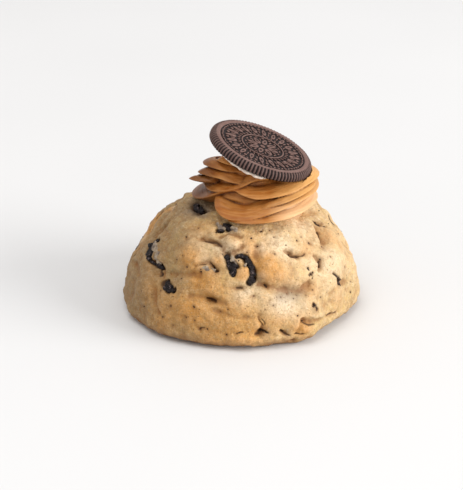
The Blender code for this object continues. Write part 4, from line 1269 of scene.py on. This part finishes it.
def scatter_tree():
    tree, given, flow = start_tree("Scattered specks", (
        ("Chip", "Object"), ("Spacing", "Float"), ("Smallest", "Float"), ("Largest", "Float"),
        ("Sink", "Float"), ("Seed", "Int"), ("Material", "Material")))
    mask = flow.make("GeometryNodeInputNamedAttribute", {"data_type": "FLOAT"}, {"Name": "bare"})
    spread = tree.nodes.new("GeometryNodeDistributePointsOnFaces")
    spread.distribute_method = "POISSON"
    for label, value in {"Mesh": given["Geometry"], "Distance Min": given["Spacing"],
                         "Density Max": MOST_SPECKS, "Density Factor": mask,
                         "Seed": given["Seed"]}.items():
        flow.fill(spread.inputs[label], value)
    lean = Flow(tree, spread.outputs["Rotation"])
    twist = flow.make("FunctionNodeRandomValue", {"data_type": "FLOAT"}, {
        "Min": 0.0, "Max": math.tau}, out=1)
    around = flow.make("ShaderNodeCombineXYZ", None, {"Z": twist})
    lean = flow.make("FunctionNodeRotateRotation", {"rotation_space": "LOCAL"}, {
        "Rotation": lean, "Rotate By": around})
    size = flow.make("FunctionNodeRandomValue", {"data_type": "FLOAT"}, {
        "Min": given["Smallest"], "Max": given["Largest"], "Seed": 5}, out=1)
    chip = flow.make("GeometryNodeObjectInfo", None, {
        "Object": given["Chip"], "As Instance": True}, out="Geometry")
    laid = flow.make("GeometryNodeInstanceOnPoints", None, {
        "Points": Flow(tree, spread.outputs["Points"]), "Instance": chip, "Rotation": lean,
        "Scale": size})
    down = flow.make("ShaderNodeCombineXYZ", None, {"Z": 0.0 - given["Sink"]})
    sunk = flow.make("GeometryNodeTranslateInstances", None, {
        "Instances": laid, "Translation": down, "Local Space": True})
    return end_tree(flow, sunk, given["Material"])


chip_points, chip_faces = broken_bit(CHIP_SIZE, random.Random(CHIP_SEED), 2)
chip = new_piece("chip_pattern", chip_points, chip_faces)
specks = bpy.data.objects.new("biscuit_specks", dough.data.copy())
bpy.context.scene.collection.objects.link(specks)
grow(specks, scatter_tree(), Chip=chip, Spacing=4.6 * MM, Smallest=0.4 * MM, Largest=1.1 * MM,
     Sink=0.12 * MM, Seed=4, Material=dark_crumb)
bpy.data.objects.remove(chip, do_unlink=True)
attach(specks, "root")
scattered = len(specks.data.vertices) // len(chip_points)
print("specks scattered:", scattered, "in", triangles(specks), "triangles")

# %% [markdown]
# ## The caramel swirl
# The icing was piped through an open nozzle, so it is a trunk with ridges that climb round it.
# Each ridge is one section swept along a measured crest: angle, radius, height and size. A voxel
# remesh melts trunk and ridges into one skin, as real icing does where folds touch, and a light
# smoothing takes off the voxel steps but keeps the thin crests.

# %% Trunk and ridges
SWIRL_X = 5.4 * MM
TRUNK = ((0.0, 36.0), (20.4, 36.0), (20.4, 42.0), (19.0, 46.5), (17.0, 50.5), (15.0, 54.0),
         (13.6, 58.0), (10.5, 62.0), (8.5, 68.0), (0.0, 69.0))

# Ridge section, crest first: outward and upward in units of the ridge's size
RIDGE_SECTION = (
    (0.0, 0.0), (-0.28, 0.3), (-0.7, 0.58), (-1.35, 0.96), (-2.1, 1.35), (-3.7, 2.15), (-6.2, 3.05),
    (-10.0, 3.4), (-10.0, -2.6), (-5.3, -2.0), (-2.5, -1.15), (-0.95, -0.62), (-0.25, -0.28),
)

# Ridge crests: angle counter-clockwise from the right, radius and height in mm, size
OUTER_RIDGE = (
    (243, 23.5, 44.0, 0.35), (262, 26.2, 44.9, 0.6), (290, 26.4, 45.6, 0.7), (312, 26.0, 46.2, 0.7),
    (335, 25.6, 46.8, 0.8), (365, 25.5, 46.2, 0.9), (405, 25.2, 45.6, 1.0), (470, 25.2, 45.2, 1.05),
    (520, 25.6, 45.6, 1.1),
    (541, 24.9, 46.2, 1.15), (553, 23.4, 47.0, 1.1), (566, 21.5, 49.0, 0.95), (582, 18.4, 52.2, 0.75),
    (602, 17.8, 54.4, 0.65), (612, 19.2, 54.1, 0.7), (630, 21.2, 53.2, 0.8), (648, 21.7, 53.5, 0.85),
    (668, 22.7, 54.3, 0.85), (684, 23.8, 55.4, 0.85), (698, 25.2, 56.2, 0.8), (714, 25.9, 56.0, 0.8),
    (735, 25.8, 55.2, 0.8), (765, 24.8, 54.2, 0.85), (810, 23.4, 53.8, 0.8), (850, 22.0, 53.6, 0.7),
    (880, 21.4, 54.8, 0.6), (895, 21.8, 56.2, 0.6), (905, 22.6, 57.0, 0.65), (913, 22.4, 57.7, 0.7),
    (925, 19.6, 57.6, 0.8), (939, 17.9, 57.8, 0.85), (958, 16.8, 57.2, 0.8),
    (975, 15.8, 57.4, 0.7), (1000, 14.0, 58.2, 0.5),
)
BROAD_RIDGE = (
    (214, 18.5, 50.0, 0.4), (222, 21.4, 48.4, 0.7), (230, 23.3, 46.7, 0.95), (243, 24.8, 45.3, 1.15),
    (258, 25.0, 45.6, 1.2), (274, 24.8, 47.0, 1.15), (292, 24.9, 49.0, 1.1), (318, 25.5, 51.2, 1.0),
    (345, 25.9, 51.6, 0.95), (405, 25.6, 51.6, 0.95), (450, 24.6, 51.2, 0.95), (500, 23.2, 51.6, 0.8),
    (530, 23.8, 52.6, 0.6), (540, 25.0, 53.4, 0.45), (547, 26.3, 54.6, 0.35), (553, 24.4, 54.6, 0.45),
    (562, 19.5, 55.0, 0.5),
)
INNER_RIDGE = (
    (505, 20.5, 50.5, 0.5), (530, 20.6, 51.3, 0.8), (547, 20.3, 51.9, 0.95), (562, 19.9, 51.6, 0.95),
    (578, 19.2, 52.6, 0.85), (594, 18.3, 54.0, 0.8), (614, 17.8, 56.8, 0.8), (628, 18.6, 59.6, 0.85),
    (636, 20.0, 60.6, 1.0), (648, 21.2, 61.0, 1.05), (665, 21.8, 60.4, 1.0), (690, 22.2, 58.4, 0.85),
    (720, 21.4, 56.4, 0.8),
    (765, 20.4, 55.4, 0.7), (810, 19.4, 55.8, 0.6), (850, 18.6, 57.0, 0.5), (878, 19.4, 59.0, 0.5),
    (895, 20.4, 60.2, 0.5), (911, 20.4, 60.8, 0.55), (922, 18.6, 60.9, 0.5), (938, 16.0, 60.6, 0.5),
    (965, 12.0, 60.0, 0.45), (1020, 13.0, 59.5, 0.5), (1060, 13.6, 59.2, 0.55), (1100, 14.4, 59.6, 0.6),
    (1140, 15.4, 60.6, 0.65), (1180, 15.2, 61.8, 0.65), (1220, 13.6, 63.0, 0.6), (1250, 11.0, 64.0, 0.5),
)
# Thin strands between the broad ridges, where the nozzle's teeth cut finer lines
STRANDS = (
    ((268, 19.6, 48.2, 0.2), (282, 22.2, 49.9, 0.3), (298, 24.3, 51.6, 0.36), (318, 25.5, 53.4, 0.4),
     (340, 25.4, 54.2, 0.4), (365, 24.2, 54.0, 0.3), (380, 22.4, 53.4, 0.2), (394, 20.0, 52.8, 0.2)),
    ((46, 20.5, 48.4, 0.2), (62, 23.4, 48.5, 0.3), (90, 24.8, 48.2, 0.4), (120, 24.6, 48.4, 0.4),
     (145, 22.6, 48.9, 0.3), (160, 20.0, 49.2, 0.2)),
    ((180, 11.5, 61.8, 0.3), (198, 15.6, 63.2, 0.6), (212, 16.8, 64.2, 0.8), (228, 15.2, 63.6, 0.7),
     (242, 12.0, 62.4, 0.3)),
)
# Middle direction in degrees, reach in mm, and the cosines over which it sets in
FOOT_SPREAD, FOOT_DENT, FUNNEL = (65, 3.8, 0.42, 0.72), (342, -1.4, 0.85, 0.98), (5, 4.2, 0.0, 0.5)
FRONT_LEFT_DENT = (212, -4.2, 0.68, 0.92)
# The widening is for rings of at least this radius, and the funnel starts at this height, in mm
WIDENED_RADIUS, DENTED_RADIUS, FUNNEL_FROM = 15, 18, 45
CREST_STEP, TRUNK_SIDES, RIDGE_ROOT, TRUNK_TIP = 2.0, 96, 6, 0.3


def ridge(crest):
    """One piped ridge: its section swept along the crest, upright in the plane of the axis."""
    rings = []
    for angle, radius, height, size in smooth_path(crest, CREST_STEP):
        a = math.radians(angle)
        section = np.array(RIDGE_SECTION) * size
        out = radius + np.maximum(section[:, 0], RIDGE_ROOT - radius)
        rings.append(np.stack([out * math.cos(a), out * math.sin(a), height + section[:, 1]], -1))
    points = np.concatenate(rings) * MM + np.array([SWIRL_X, 0, 0])
    return points, ring_faces(len(rings), len(RIDGE_SECTION))


def trunk():
    """The body inside the ridges. Its foot spreads at the back right, it opens upwards to the
    right, and it is drawn in at the front left."""
    angles = np.arange(TRUNK_SIDES) * math.tau / TRUNK_SIDES

    def widened(middle, reach, low, high):
        return reach * smoothstep(np.cos(angles - math.radians(middle)), low, high)

    foot, funnel = widened(*FOOT_SPREAD) + widened(*FOOT_DENT), widened(*FUNNEL)
    left_dent = widened(*FRONT_LEFT_DENT)
    rings = []
    for radius, z in TRUNK:
        wider = np.zeros(TRUNK_SIDES)
        if radius >= WIDENED_RADIUS:
            wider = foot if z < FUNNEL_FROM else np.maximum(funnel, foot)
        if radius > DENTED_RADIUS:
            wider = wider + left_dent
        reach = max(radius, TRUNK_TIP) + wider
        rings.append(np.stack([reach * np.cos(angles), reach * np.sin(angles), z + 0 * angles], -1))
    return np.concatenate(rings) * MM + np.array([SWIRL_X, 0, 0]), ring_faces(len(rings), TRUNK_SIDES)


forms = [trunk()] + [ridge(crest) for crest in (OUTER_RIDGE, BROAD_RIDGE, INNER_RIDGE, *STRANDS)]
swirl = new_piece("caramel_swirl", *join_lists(forms))
print("forms to melt together:", len(forms))

# %% [markdown]
# ## Melting, and pressing the wafer in
# After the remesh, icing above the wafer's underside but inside its edge is pressed down to it,
# and icing deep inside the dough is lifted to just under the crust, so little of it is buried.

# %% One skin
WAFER_CENTRE = Vector((7.4 * MM, 0, 63.9 * MM))
WAFER_NORMAL = Vector((0.350, -0.070, 0.934)).normalized()
WAFER_RADIUS, WAFER_THICKNESS = 21.4 * MM, 3.6 * MM
SWIRL_VOXEL = 0.25 * MM
SWIRL_TRIANGLES = 185_000
# Cream lies between the icing and the inner share of the wafer; further out there is a narrow gap
CREAM_UNDER, CREAMED_SHARE, RIM_GAP, RIM_CLEARANCE = 1.2 * MM, 0.9, 0.3 * MM, 0.4 * MM
UNDER_CRUST, DOUGH_BELOW = 3.5 * MM, 56 * MM


def wafer_matrix():
    turned = WAFER_NORMAL.to_track_quat("Z", "Y").to_matrix().to_4x4()
    return Matrix.Translation(WAFER_CENTRE) @ turned


melt(swirl, SWIRL_VOXEL)
fewer = swirl.modifiers.new("Fewer faces", "DECIMATE")
fewer.ratio = min(1.0, SWIRL_TRIANGLES / triangles(swirl))
apply_modifiers(swirl)


def press(piece):
    points = points_of(piece)
    local = place_points(points, wafer_matrix().inverted())
    across = np.hypot(local[:, 0], local[:, 1])
    ceiling = np.where(across < WAFER_RADIUS * CREAMED_SHARE, -CREAM_UNDER, -RIM_GAP)
    over = (across < WAFER_RADIUS + RIM_CLEARANCE) & (local[:, 2] > ceiling)
    local[over, 2] = ceiling[over]
    points = place_points(local, wafer_matrix())
    reach = np.linalg.norm(points - CORE, axis=1)
    low = points[:, 2] < DOUGH_BELOW
    rays = (points[low] - CORE) / reach[low, None]
    crust_reach = soft_radius(rays) - UNDER_CRUST
    buried = reach[low] < crust_reach
    lifted = points[low]
    lifted[buried] = rays[buried] * crust_reach[buried, None] + CORE
    points[low] = lifted
    move_points(piece, points)


press(swirl)
print("swirl:", triangles(swirl), "triangles")

# %% [markdown]
# ## Creases and crests of the icing
# Creases of the icing get painted shade, deeper and redder, and thin crests a paler painted highlight. The
# same measure of hollowness as on the dough tells which is which. The foot at the right gets painted light,
# and its painted crease shade is weaker. All three are stored for the finish.

# %% Creases and crests as stored values
CREASED_AT, CRESTED_AT, FOOT_CREASES = 0.22 * MM, 0.4 * MM, 0.6
sunken = hollowness(swirl, rounds=14, spread=2)
swirl_x, _, swirl_z = points_of(swirl).T
# The foot, low at the right, gets painted light
foot = smoothstep(swirl_z, 53 * MM, 47 * MM) * smoothstep(swirl_x, 9 * MM, 20 * MM)
set_values(swirl, "crease", np.clip(sunken / CREASED_AT, 0, 1) * (1 - FOOT_CREASES * foot))
set_values(swirl, "foot", foot)
set_values(swirl, "crest", np.clip(-sunken / CRESTED_AT, 0, 1))
print("deepest crease, mm:", round(sunken.max() / MM, 2))

# %% Caramel material
# Deep caramel is dark streaks and also painted crease shade; light caramel is pale streaks and also painted
# light and highlight
CARAMEL, CARAMEL_PALE_AND_HIGHLIGHT, CARAMEL_DEEP_AND_SHADE = tint(154, 88, 26), tint(212, 160, 95), tint(72, 30, 6)
# Grey is painted shade on the left, pale a painted crest highlight in that shade, milky painted light on the
# foot
CARAMEL_LEFT_SHADE, CARAMEL_CREST_HIGHLIGHT_IN_SHADE, CARAMEL_LIT_FOOT = tint(92, 50, 18), tint(166, 114, 68), tint(236, 198, 154)
# Streaks are noise that is stretched along the piping: points per metre, and per radian round it
STREAKS_ACROSS, STREAKS_ROUND = 800.0, 1.6


def caramel_finish():
    material, shader, flow = new_finish(
        "caramel_icing", 0.38, Coat_Weight=0.04, Coat_Roughness=0.25, Specular_IOR_Level=0.26)
    place = flow.place()
    x, y, z = place.along("X"), place.along("Y"), place.along("Z")
    crease, crest, foot = (flow.stored(label) for label in ("crease", "crest", "foot"))
    broad = flow.mottle(place, 8 * MM, 2.0)
    turn = flow.math("ARCTAN2", y, x - SWIRL_X)
    reach = flow.math("SQRT", (x - SWIRL_X) ** 2.0 + y ** 2.0)
    swept = flow.make("ShaderNodeCombineXYZ", None, {
        0: reach * STREAKS_ACROSS, 1: z * STREAKS_ACROSS, 2: turn * STREAKS_ROUND})
    streaks = flow.make("ShaderNodeTexNoise", None, {"Vector": swept, "Scale": 1.0, "Detail": 3.0})

    right = (x + (broad - 0.5) * 8 * MM).step(8 * MM, 28 * MM)
    left = (x + (broad - 0.5) * 6 * MM).step(-7 * MM, -15 * MM)
    colour = layered(CARAMEL, (
        ((broad - 0.4) * 1.2, 1.0, CARAMEL_PALE_AND_HIGHLIGHT),
        ((streaks - 0.52) * 1.3, 1.0, CARAMEL_PALE_AND_HIGHLIGHT),
        ((0.48 - streaks) * 1.4, 1.0, CARAMEL_DEEP_AND_SHADE),
        # Painted light: the right side, towards the lamp, is paled
        (right, 0.8, CARAMEL_PALE_AND_HIGHLIGHT),
        # Painted light on the foot at the right
        (foot, 0.7, CARAMEL_LIT_FOOT),
        # Painted shade: the left, under the wafer and away from the lamp, is darkened
        (left, 0.75, CARAMEL_LEFT_SHADE),
        # Painted highlight along the thin crests, paler on the left in its painted shade
        (crest, 0.45, left.blend(CARAMEL_PALE_AND_HIGHLIGHT, CARAMEL_CREST_HIGHLIGHT_IN_SHADE)),
        # Painted shade in the creases
        (crease, 0.92, CARAMEL_DEEP_AND_SHADE),
    ))
    dress(shader, colour, 0.3 + 0.2 * streaks, streaks, 0.6, 0.7 * MM)
    return material


swirl.data.materials.append(caramel_finish())
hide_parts("icing_swirl")
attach(swirl, "root")
print("icing finished")

# %% [markdown]
# ## The fluted wafer
# The wafer is a turned disc whose side and bevel carry ninety rounded flutes. Rings of points at
# each height give the profile, and each ring is pulled in between the ribs. A lathe shape with a
# Boolean for each flute would be slower and rougher. The sunk panel holds the embossing.

# %% The wafer's body
WAFER_FLUTES, FLUTE_DEPTH, FLUTE_COLUMNS = 90, 0.65 * MM, 8
PANEL_TOP = WAFER_THICKNESS - 0.45 * MM
# The rim beyond this radius and above this height, in mm, is coloured by how far it stands out, as
# painted shade: flutes darker than ribs, and the panel and underside as dark as the pits
RIM_RADIUS, RIM_BOTTOM, FLUTE_VALUE, RIB_VALUE = 17.8, 0.3, 0.04, 0.58
WEAR_DEPTH, WEAR_SPOTS = 0.05 * MM, 40

# Radius and height in mm, how far flutes cut in, and how far they cut down
WAFER_PROFILE = (
    (2.0, 0.0, 0, 0), (12.0, 0.0, 0, 0), (19.0, 0.0, 0, 0), (20.5, 0.02, 0.4, 0), (21.1, 0.2, 0.8, 0),
    (21.35, 0.5, 1, 0), (21.4, 1.0, 1, 0), (21.4, 1.6, 1, 0), (21.3, 2.1, 1, 0), (21.1, 2.55, 1, 0.1),
    (20.8, 2.95, 1, 0.3), (20.4, 3.3, 1, 0.6), (20.05, 3.5, 0.8, 0.6), (19.75, 3.58, 0.4, 0.4),
    (19.4, 3.6, 0, 0), (18.6, 3.6, 0, 0), (18.0, 3.58, 0, 0), (17.85, 3.5, 0, 0), (17.75, 3.3, 0, 0),
    (17.6, 3.17, 0, 0), (17.0, 3.15, 0, 0), (14.0, 3.15, 0, 0), (10.0, 3.15, 0, 0), (6.0, 3.15, 0, 0),
    (2.0, 3.15, 0, 0),
)


def wafer_body():
    columns = WAFER_FLUTES * FLUTE_COLUMNS
    angles = np.arange(columns) * math.tau / columns
    rib = np.clip(0.62 + 0.95 * np.cos(angles * WAFER_FLUTES), 0, 1)
    drawn = wander(np.arange(3 * WEAR_SPOTS).reshape(WEAR_SPOTS, 3), 1.7)
    wear = np.interp(angles, np.linspace(0, math.tau, WEAR_SPOTS + 1), np.r_[drawn, 0])
    rings, heights = [], []
    for radius, height, cut_in, cut_down in WAFER_PROFILE:
        reach = radius * MM - FLUTE_DEPTH * cut_in * (1 - rib) + WEAR_DEPTH * wear * (cut_in > 0)
        rise = height * MM - FLUTE_DEPTH * cut_down * (1 - rib)
        rings.append(np.stack([reach * np.cos(angles), reach * np.sin(angles), rise], -1))
        on_rim = radius > RIM_RADIUS and height > RIM_BOTTOM
        shown = FLUTE_VALUE + RIB_VALUE * rib if cut_in else 1.0
        heights.append((shown if on_rim else 0.0) + np.zeros(columns))
    return np.concatenate(rings), ring_faces(len(rings), columns), np.concatenate(heights)


body_points, body_faces, body_heights = wafer_body()
print("wafer body:", len(body_points), "points")

# %% [markdown]
# ## The embossing
# The panel carries a plain pattern of leaves, beads and hoops round a rosette, close-set like the
# fine embossing of such biscuits. Each ring repeats one small raised motif, so a Geometry Nodes
# tree places it: points on a circle, an instance on each, turned outwards and tilted.

# %% Motifs
MOTIF_HEIGHT, MOTIF_ROOT = 0.43 * MM, -0.1 * MM


def raised(outline, groove=0.0):
    """A low cushion over an outline of (x, y), with a sunk middle where groove is above 0."""
    outline = np.array(outline)
    middle = outline.mean(0)
    # Share of the outline, height, and the value that the finish reads, which paints shade on the low parts
    levels = [(1.12, MOTIF_ROOT, 0.0), (1.0, 0.8 * MOTIF_HEIGHT, 0.75), (0.84, MOTIF_HEIGHT, 1.0)]
    if groove:
        levels += [(groove + 0.14, MOTIF_HEIGHT, 1.0), (groove, 0.35 * MOTIF_HEIGHT, 0.25)]
    points, values = [], []
    for share, z, value in levels:
        spread = middle + (outline - middle) * share
        points += [(x, y, z) for x, y in spread]
        values += [value] * len(outline)
    return points, ring_faces(len(levels), len(outline)), values


def leaf(length, width, sides=12):
    """An oval, narrower at its outer end."""
    angles = [math.tau * i / sides for i in range(sides)]
    return [(length / 2 * math.cos(t), width / 2 * math.sin(t) * (1 - 0.35 * math.cos(t))) for t in angles]


def bar(length, width, bow=0.0, sides=12):
    """A rounded stroke, its middle bent aside by bow."""
    points = []
    for i in range(sides):
        t = math.tau * i / sides
        x = math.copysign(abs(math.cos(t)) ** 0.6, math.cos(t)) * length / 2
        y = math.copysign(abs(math.sin(t)) ** 0.8, math.sin(t)) * width / 2
        points.append((x, y + bow * (1 - (2 * x / length) ** 2)))
    return points


def wreath_tree():
    tree, given, flow = start_tree("Ring of motifs", (
        ("Motif", "Object"), ("Count", "Int"), ("Reach", "Float"), ("Start", "Float"),
        ("Tilt", "Float"), ("Alternate", "Float"), ("Material", "Material")))
    index = flow.make("GeometryNodeInputIndex")
    angle = given["Start"] + index * (math.tau / given["Count"])
    place = flow.make("ShaderNodeCombineXYZ", None, {
        0: flow.math("COSINE", angle) * given["Reach"], 1: flow.math("SINE", angle) * given["Reach"]})
    dots = flow.make("GeometryNodePoints", None, {"Count": given["Count"], "Position": place})
    sway = flow.math("MODULO", index, 2.0) * 2.0 - 1.0
    turned = flow.make("ShaderNodeCombineXYZ", None, {
        2: angle + given["Tilt"] + sway * given["Alternate"]})
    motif = flow.make("GeometryNodeObjectInfo", None, {
        "Object": given["Motif"], "As Instance": True}, out="Geometry")
    laid = flow.make("GeometryNodeInstanceOnPoints", None, {
        "Points": dots, "Instance": motif, "Rotation": turned})
    return end_tree(flow, laid, given["Material"])


# Outline, groove, count, reach in mm, start in turns of the spacing, tilt and swing in degrees
WREATHS = (
    (leaf(4.4 * MM, 2.0 * MM), 0.45, 8, 4.4, 0.0, 0, 0),
    (bar(1.7 * MM, 0.45 * MM), 0, 8, 5.6, 0.5, 0, 0),
    (bar(1.2 * MM, 0.45 * MM, 0.25 * MM), 0, 16, 7.3, 0.5, 90, 0),
    (bar(1.3 * MM, 0.45 * MM, 0.2 * MM), 0, 34, 10.1, 0.0, 30, 0),
    (leaf(4.6 * MM, 1.7 * MM), 0.4, 20, 13.4, 0.5, 12, 0),
    (bar(1.9 * MM, 0.45 * MM), 0, 20, 12.6, 0.0, 12, 0),
    (leaf(1.2 * MM, 1.2 * MM), 0.3, 20, 14.9, 0.0, 0, 0),
    (bar(1.1 * MM, 0.5 * MM), 0, 64, 16.85, 0.0, 90, 32),
    (leaf(1.9 * MM, 1.9 * MM), 0.35, 1, 0.0, 0.0, 0, 0),
)
HOOP_RADIUS, HOOP_WIDTH = 8.4 * MM, 0.5 * MM
print("rings of motifs:", len(WREATHS), "motifs:", sum(row[2] for row in WREATHS))

# %% Wafer material
# The pit colour is painted shade for the sunk parts; the top colour is for what stands out
WAFER_TOP, WAFER_DUST, WAFER_PIT_SHADE = tint(108, 82, 75), tint(146, 121, 113), tint(28, 17, 17)


def wafer_finish():
    material, shader, flow = new_finish("cocoa_wafer", 0.5, Specular_IOR_Level=0.25)
    place = flow.place()
    standing_out = flow.stored("raised")
    fine = flow.mottle(place, 0.5 * MM, 4.0, 0.7)
    broad = flow.mottle(place, 5 * MM)
    colour = layered(WAFER_PIT_SHADE, (
        # Painted shade: sunk parts, flutes and the panel between motifs are dark
        (standing_out.step(0.1, 0.9), 1.0, WAFER_TOP),
        (standing_out * fine.step(0.45, 0.7) * broad.step(0.3, 0.7), 0.8, WAFER_DUST),
    ))
    dress(shader, colour, 0.45 + 0.25 * fine, fine, 0.4, 0.12 * MM)
    return material


cocoa_wafer = wafer_finish()
print("material:", cocoa_wafer.name)

# %% Assembling the wafer
# Depth, size and shift of each noise that makes the faces slightly uneven
WAFER_UNEVEN = ((0.05 * MM, 2.2 * MM, 6.0), (0.03 * MM, 0.8 * MM, 2.0))


def hoop(radius, width, sides=120):
    """A raised band that runs right round, of the same section as the motifs."""
    half = ((0.56, MOTIF_ROOT, 0.0), (0.5, 0.34 * MM, 0.75), (0.38, MOTIF_HEIGHT, 1.0))
    section = [(-across, z, value) for across, z, value in half] + list(half[::-1])
    angles = np.arange(sides) * math.tau / sides
    reaches = [radius + width * across for across, *_ in section]
    points = np.concatenate([
        np.stack([reach * np.cos(angles), reach * np.sin(angles), np.full(sides, z)], -1)
        for reach, (_, z, _) in zip(reaches, section)])
    faces = ring_faces(len(section), sides, caps=False)
    first, last = np.arange(sides), np.arange(sides) + sides * (len(section) - 1)
    faces += np.stack([last, np.roll(last, -1), np.roll(first, -1), first], -1).tolist()
    return points, faces, [value for *_, value in section for _ in range(sides)]


def make_wafer():
    tree = wreath_tree()
    pieces = [new_piece("wafer_body", body_points, body_faces, {"raised": body_heights})]
    for outline, groove, count, reach, start, tilt, swing in WREATHS:
        points, faces, values = raised(outline, groove)
        pattern = new_piece("motif", points, faces, {"raised": values})
        ring = new_piece("ring", [(0, 0, 0)], [])
        grow(ring, tree, Motif=pattern, Count=count, Reach=reach * MM, Start=start * math.tau / count,
             Tilt=math.radians(tilt), Alternate=math.radians(swing), Material=cocoa_wafer)
        bpy.data.objects.remove(pattern, do_unlink=True)
        ring.data.transform(Matrix.Translation((0, 0, PANEL_TOP)))
        pieces.append(ring)
    points, faces, values = hoop(HOOP_RADIUS + HOOP_WIDTH / 2, HOOP_WIDTH)
    band = new_piece("band", points + np.array([0, 0, PANEL_TOP]), faces, {"raised": values})
    pieces.append(band)
    pieces[0].data.materials.append(cocoa_wafer)
    band.data.materials.append(cocoa_wafer)
    with bpy.context.temp_override(active_object=pieces[0], selected_editable_objects=pieces,
                                   selected_objects=pieces):
        bpy.ops.object.join()
    wafer = pieces[0]
    wafer.name = wafer.data.name = "fluted_wafer"
    points = points_of(wafer)
    points[:, 2] += sum(depth * wander(points, size, shift) for depth, size, shift in WAFER_UNEVEN)
    move_points(wafer, place_points(points, wafer_matrix()))
    return wafer


wafer = face_outwards(make_wafer())
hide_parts("wafer")
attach(wafer, "root")
print("wafer:", triangles(wafer), "triangles")

# %% [markdown]
# ## Cream under the wafer
# A thin layer of white cream still sticks to the wafer. Its edge is ragged, it swells at the front
# where it was squeezed out, and it is thinner and set back to the right of that, where the icing
# covers it. Rings of points give its rounded edge, and noise makes it uneven.

# %% The layer of cream
CREAM_RADIUS, CREAM_THICKNESS, CREAM_COLUMNS = 19.3 * MM, 1.1 * MM, 360
# Angles run over the wafer from the back by the left: 180 degrees is the front, 270 the right
SQUEEZE_ANGLE, SQUEEZE_SPREAD, SQUEEZE_REACH = math.radians(182), 0.45, 1.3 * MM
SQUEEZE_THICKNESS, SQUEEZE_LUMPS = 0.35 * MM, 0.45 * MM
COVERED_FROM, COVERED_TO = np.radians((200, 213)), np.radians((330, 300))
COVERED_DEPTH, COVERED_THINNER = 2.4 * MM, 0.5
# Share of the radius and of the thickness, from the middle of the top to the middle below
CREAM_EDGE = ((0.5, -0.05), (0.9, -0.05), (0.985, -0.12), (1.0, -0.4), (0.995, -0.75), (0.97, -1.0),
              (0.9, -1.05), (0.5, -1.0))


def cream_layer():
    angles = np.arange(CREAM_COLUMNS) * math.tau / CREAM_COLUMNS
    around = np.stack([np.cos(angles), np.sin(angles), np.zeros(CREAM_COLUMNS)], -1)
    squeeze = bell(angles - SQUEEZE_ANGLE, SQUEEZE_SPREAD)
    ragged = 0.022 * wander(around, 0.24) + 0.026 * wander(around, 0.07, 5.0)
    lumpy = 0.25 * wander(around, 0.33) + 0.2 * wander(around, 0.1, 3.0)
    covered = smoothstep(angles, *COVERED_FROM) * smoothstep(angles, *COVERED_TO)
    reach = CREAM_RADIUS * (1 + ragged) + SQUEEZE_REACH * squeeze - COVERED_DEPTH * covered
    thick = CREAM_THICKNESS * (1 + lumpy)
    thick += (SQUEEZE_THICKNESS + SQUEEZE_LUMPS * wander(around, 0.08, 9.0)) * squeeze
    thick *= 1 - COVERED_THINNER * covered
    rings = [np.stack([reach * share * np.cos(angles), reach * share * np.sin(angles), thick * depth], -1)
             for share, depth in CREAM_EDGE]
    return np.concatenate(rings), ring_faces(len(rings), CREAM_COLUMNS)


cream_points, cream_faces = cream_layer()
cream = face_outwards(new_piece("wafer_cream", place_points(cream_points, wafer_matrix()), cream_faces))
cream.data.materials.append(cream_finish("white_cream", tint(238, 225, 211), tint(216, 199, 186), 0.25))
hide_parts("cream")
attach(cream, "root")
print("cream:", triangles(cream), "triangles")

# %% [markdown]
# ## Floor, light and camera
# The cookie stands on a pale sheet under soft light: one large lamp at the right and slightly
# in front, a weaker one above, and a pale surround that fills the shadows. The camera looks
# down by about 24 degrees.

# %% The pale sheet
SHEET_SIZE = 8.0


def sheet_finish():
    material, shader, flow = new_finish("pale_sheet", 0.8)
    broad = flow.mottle(flow.place(), 0.3, 2.0)
    colour = broad.step(0.3, 0.7).blend(tint(217, 218, 219), tint(220, 221, 222))
    flow.fill(shader.inputs["Base Color"], colour)
    return material


corners = np.array([(-1, -1, 0), (1, -1, 0), (1, 1, 0), (-1, 1, 0)]) * SHEET_SIZE / 2
sheet = new_piece("sheet", corners, [(0, 1, 2, 3)])
sheet.data.materials.append(sheet_finish())
print("sheet of", SHEET_SIZE, "m")

# %% Lamps and surround
LAMP_AIM = Vector((0, 0, 30)) * MM


def area_lamp(name, place, size, power, colour):
    lamp = bpy.data.lights.new(name, "AREA")
    lamp.shape, lamp.size, lamp.energy, lamp.color = "DISK", size, power, colour
    holder = bpy.data.objects.new(name, lamp)
    holder.location = place
    holder.rotation_euler = (LAMP_AIM - Vector(place)).to_track_quat("-Z", "Y").to_euler()
    bpy.context.scene.collection.objects.link(holder)


area_lamp("window", (2.39, -0.85, 0.95), 1.9, 74.0, (1.0, 0.99, 0.975))
area_lamp("ceiling", (-0.5, -0.6, 2.3), 1.8, 22.0, (1.0, 0.98, 0.96))
world = bpy.data.worlds.new("surround")
bpy.context.scene.world = world
world.use_nodes = True
surround = world.node_tree.nodes["Background"]
surround.inputs["Color"].default_value = (1.0, 0.975, 0.96, 1.0)
surround.inputs["Strength"].default_value = 0.74
bpy.context.scene.view_settings.view_transform = "Standard"

# %% Camera
TARGET, DISTANCE, ELEVATION, LENS = Vector((-3.7, 0, 24.2)) * MM, 600 * MM, 24.4, 108.44
camera = bpy.data.objects.new("camera", bpy.data.cameras.new("camera"))
camera.data.lens = LENS
camera.data.sensor_width = 36.0
camera.data.clip_start = 0.01
down = math.radians(ELEVATION)
camera.location = TARGET + Vector((0, -math.cos(down), math.sin(down))) * DISTANCE
camera.rotation_euler = (math.pi / 2 - down, 0, 0)
bpy.context.scene.collection.objects.link(camera)
bpy.context.scene.camera = camera
print("camera at", [round(v / MM, 1) for v in camera.location], "mm")
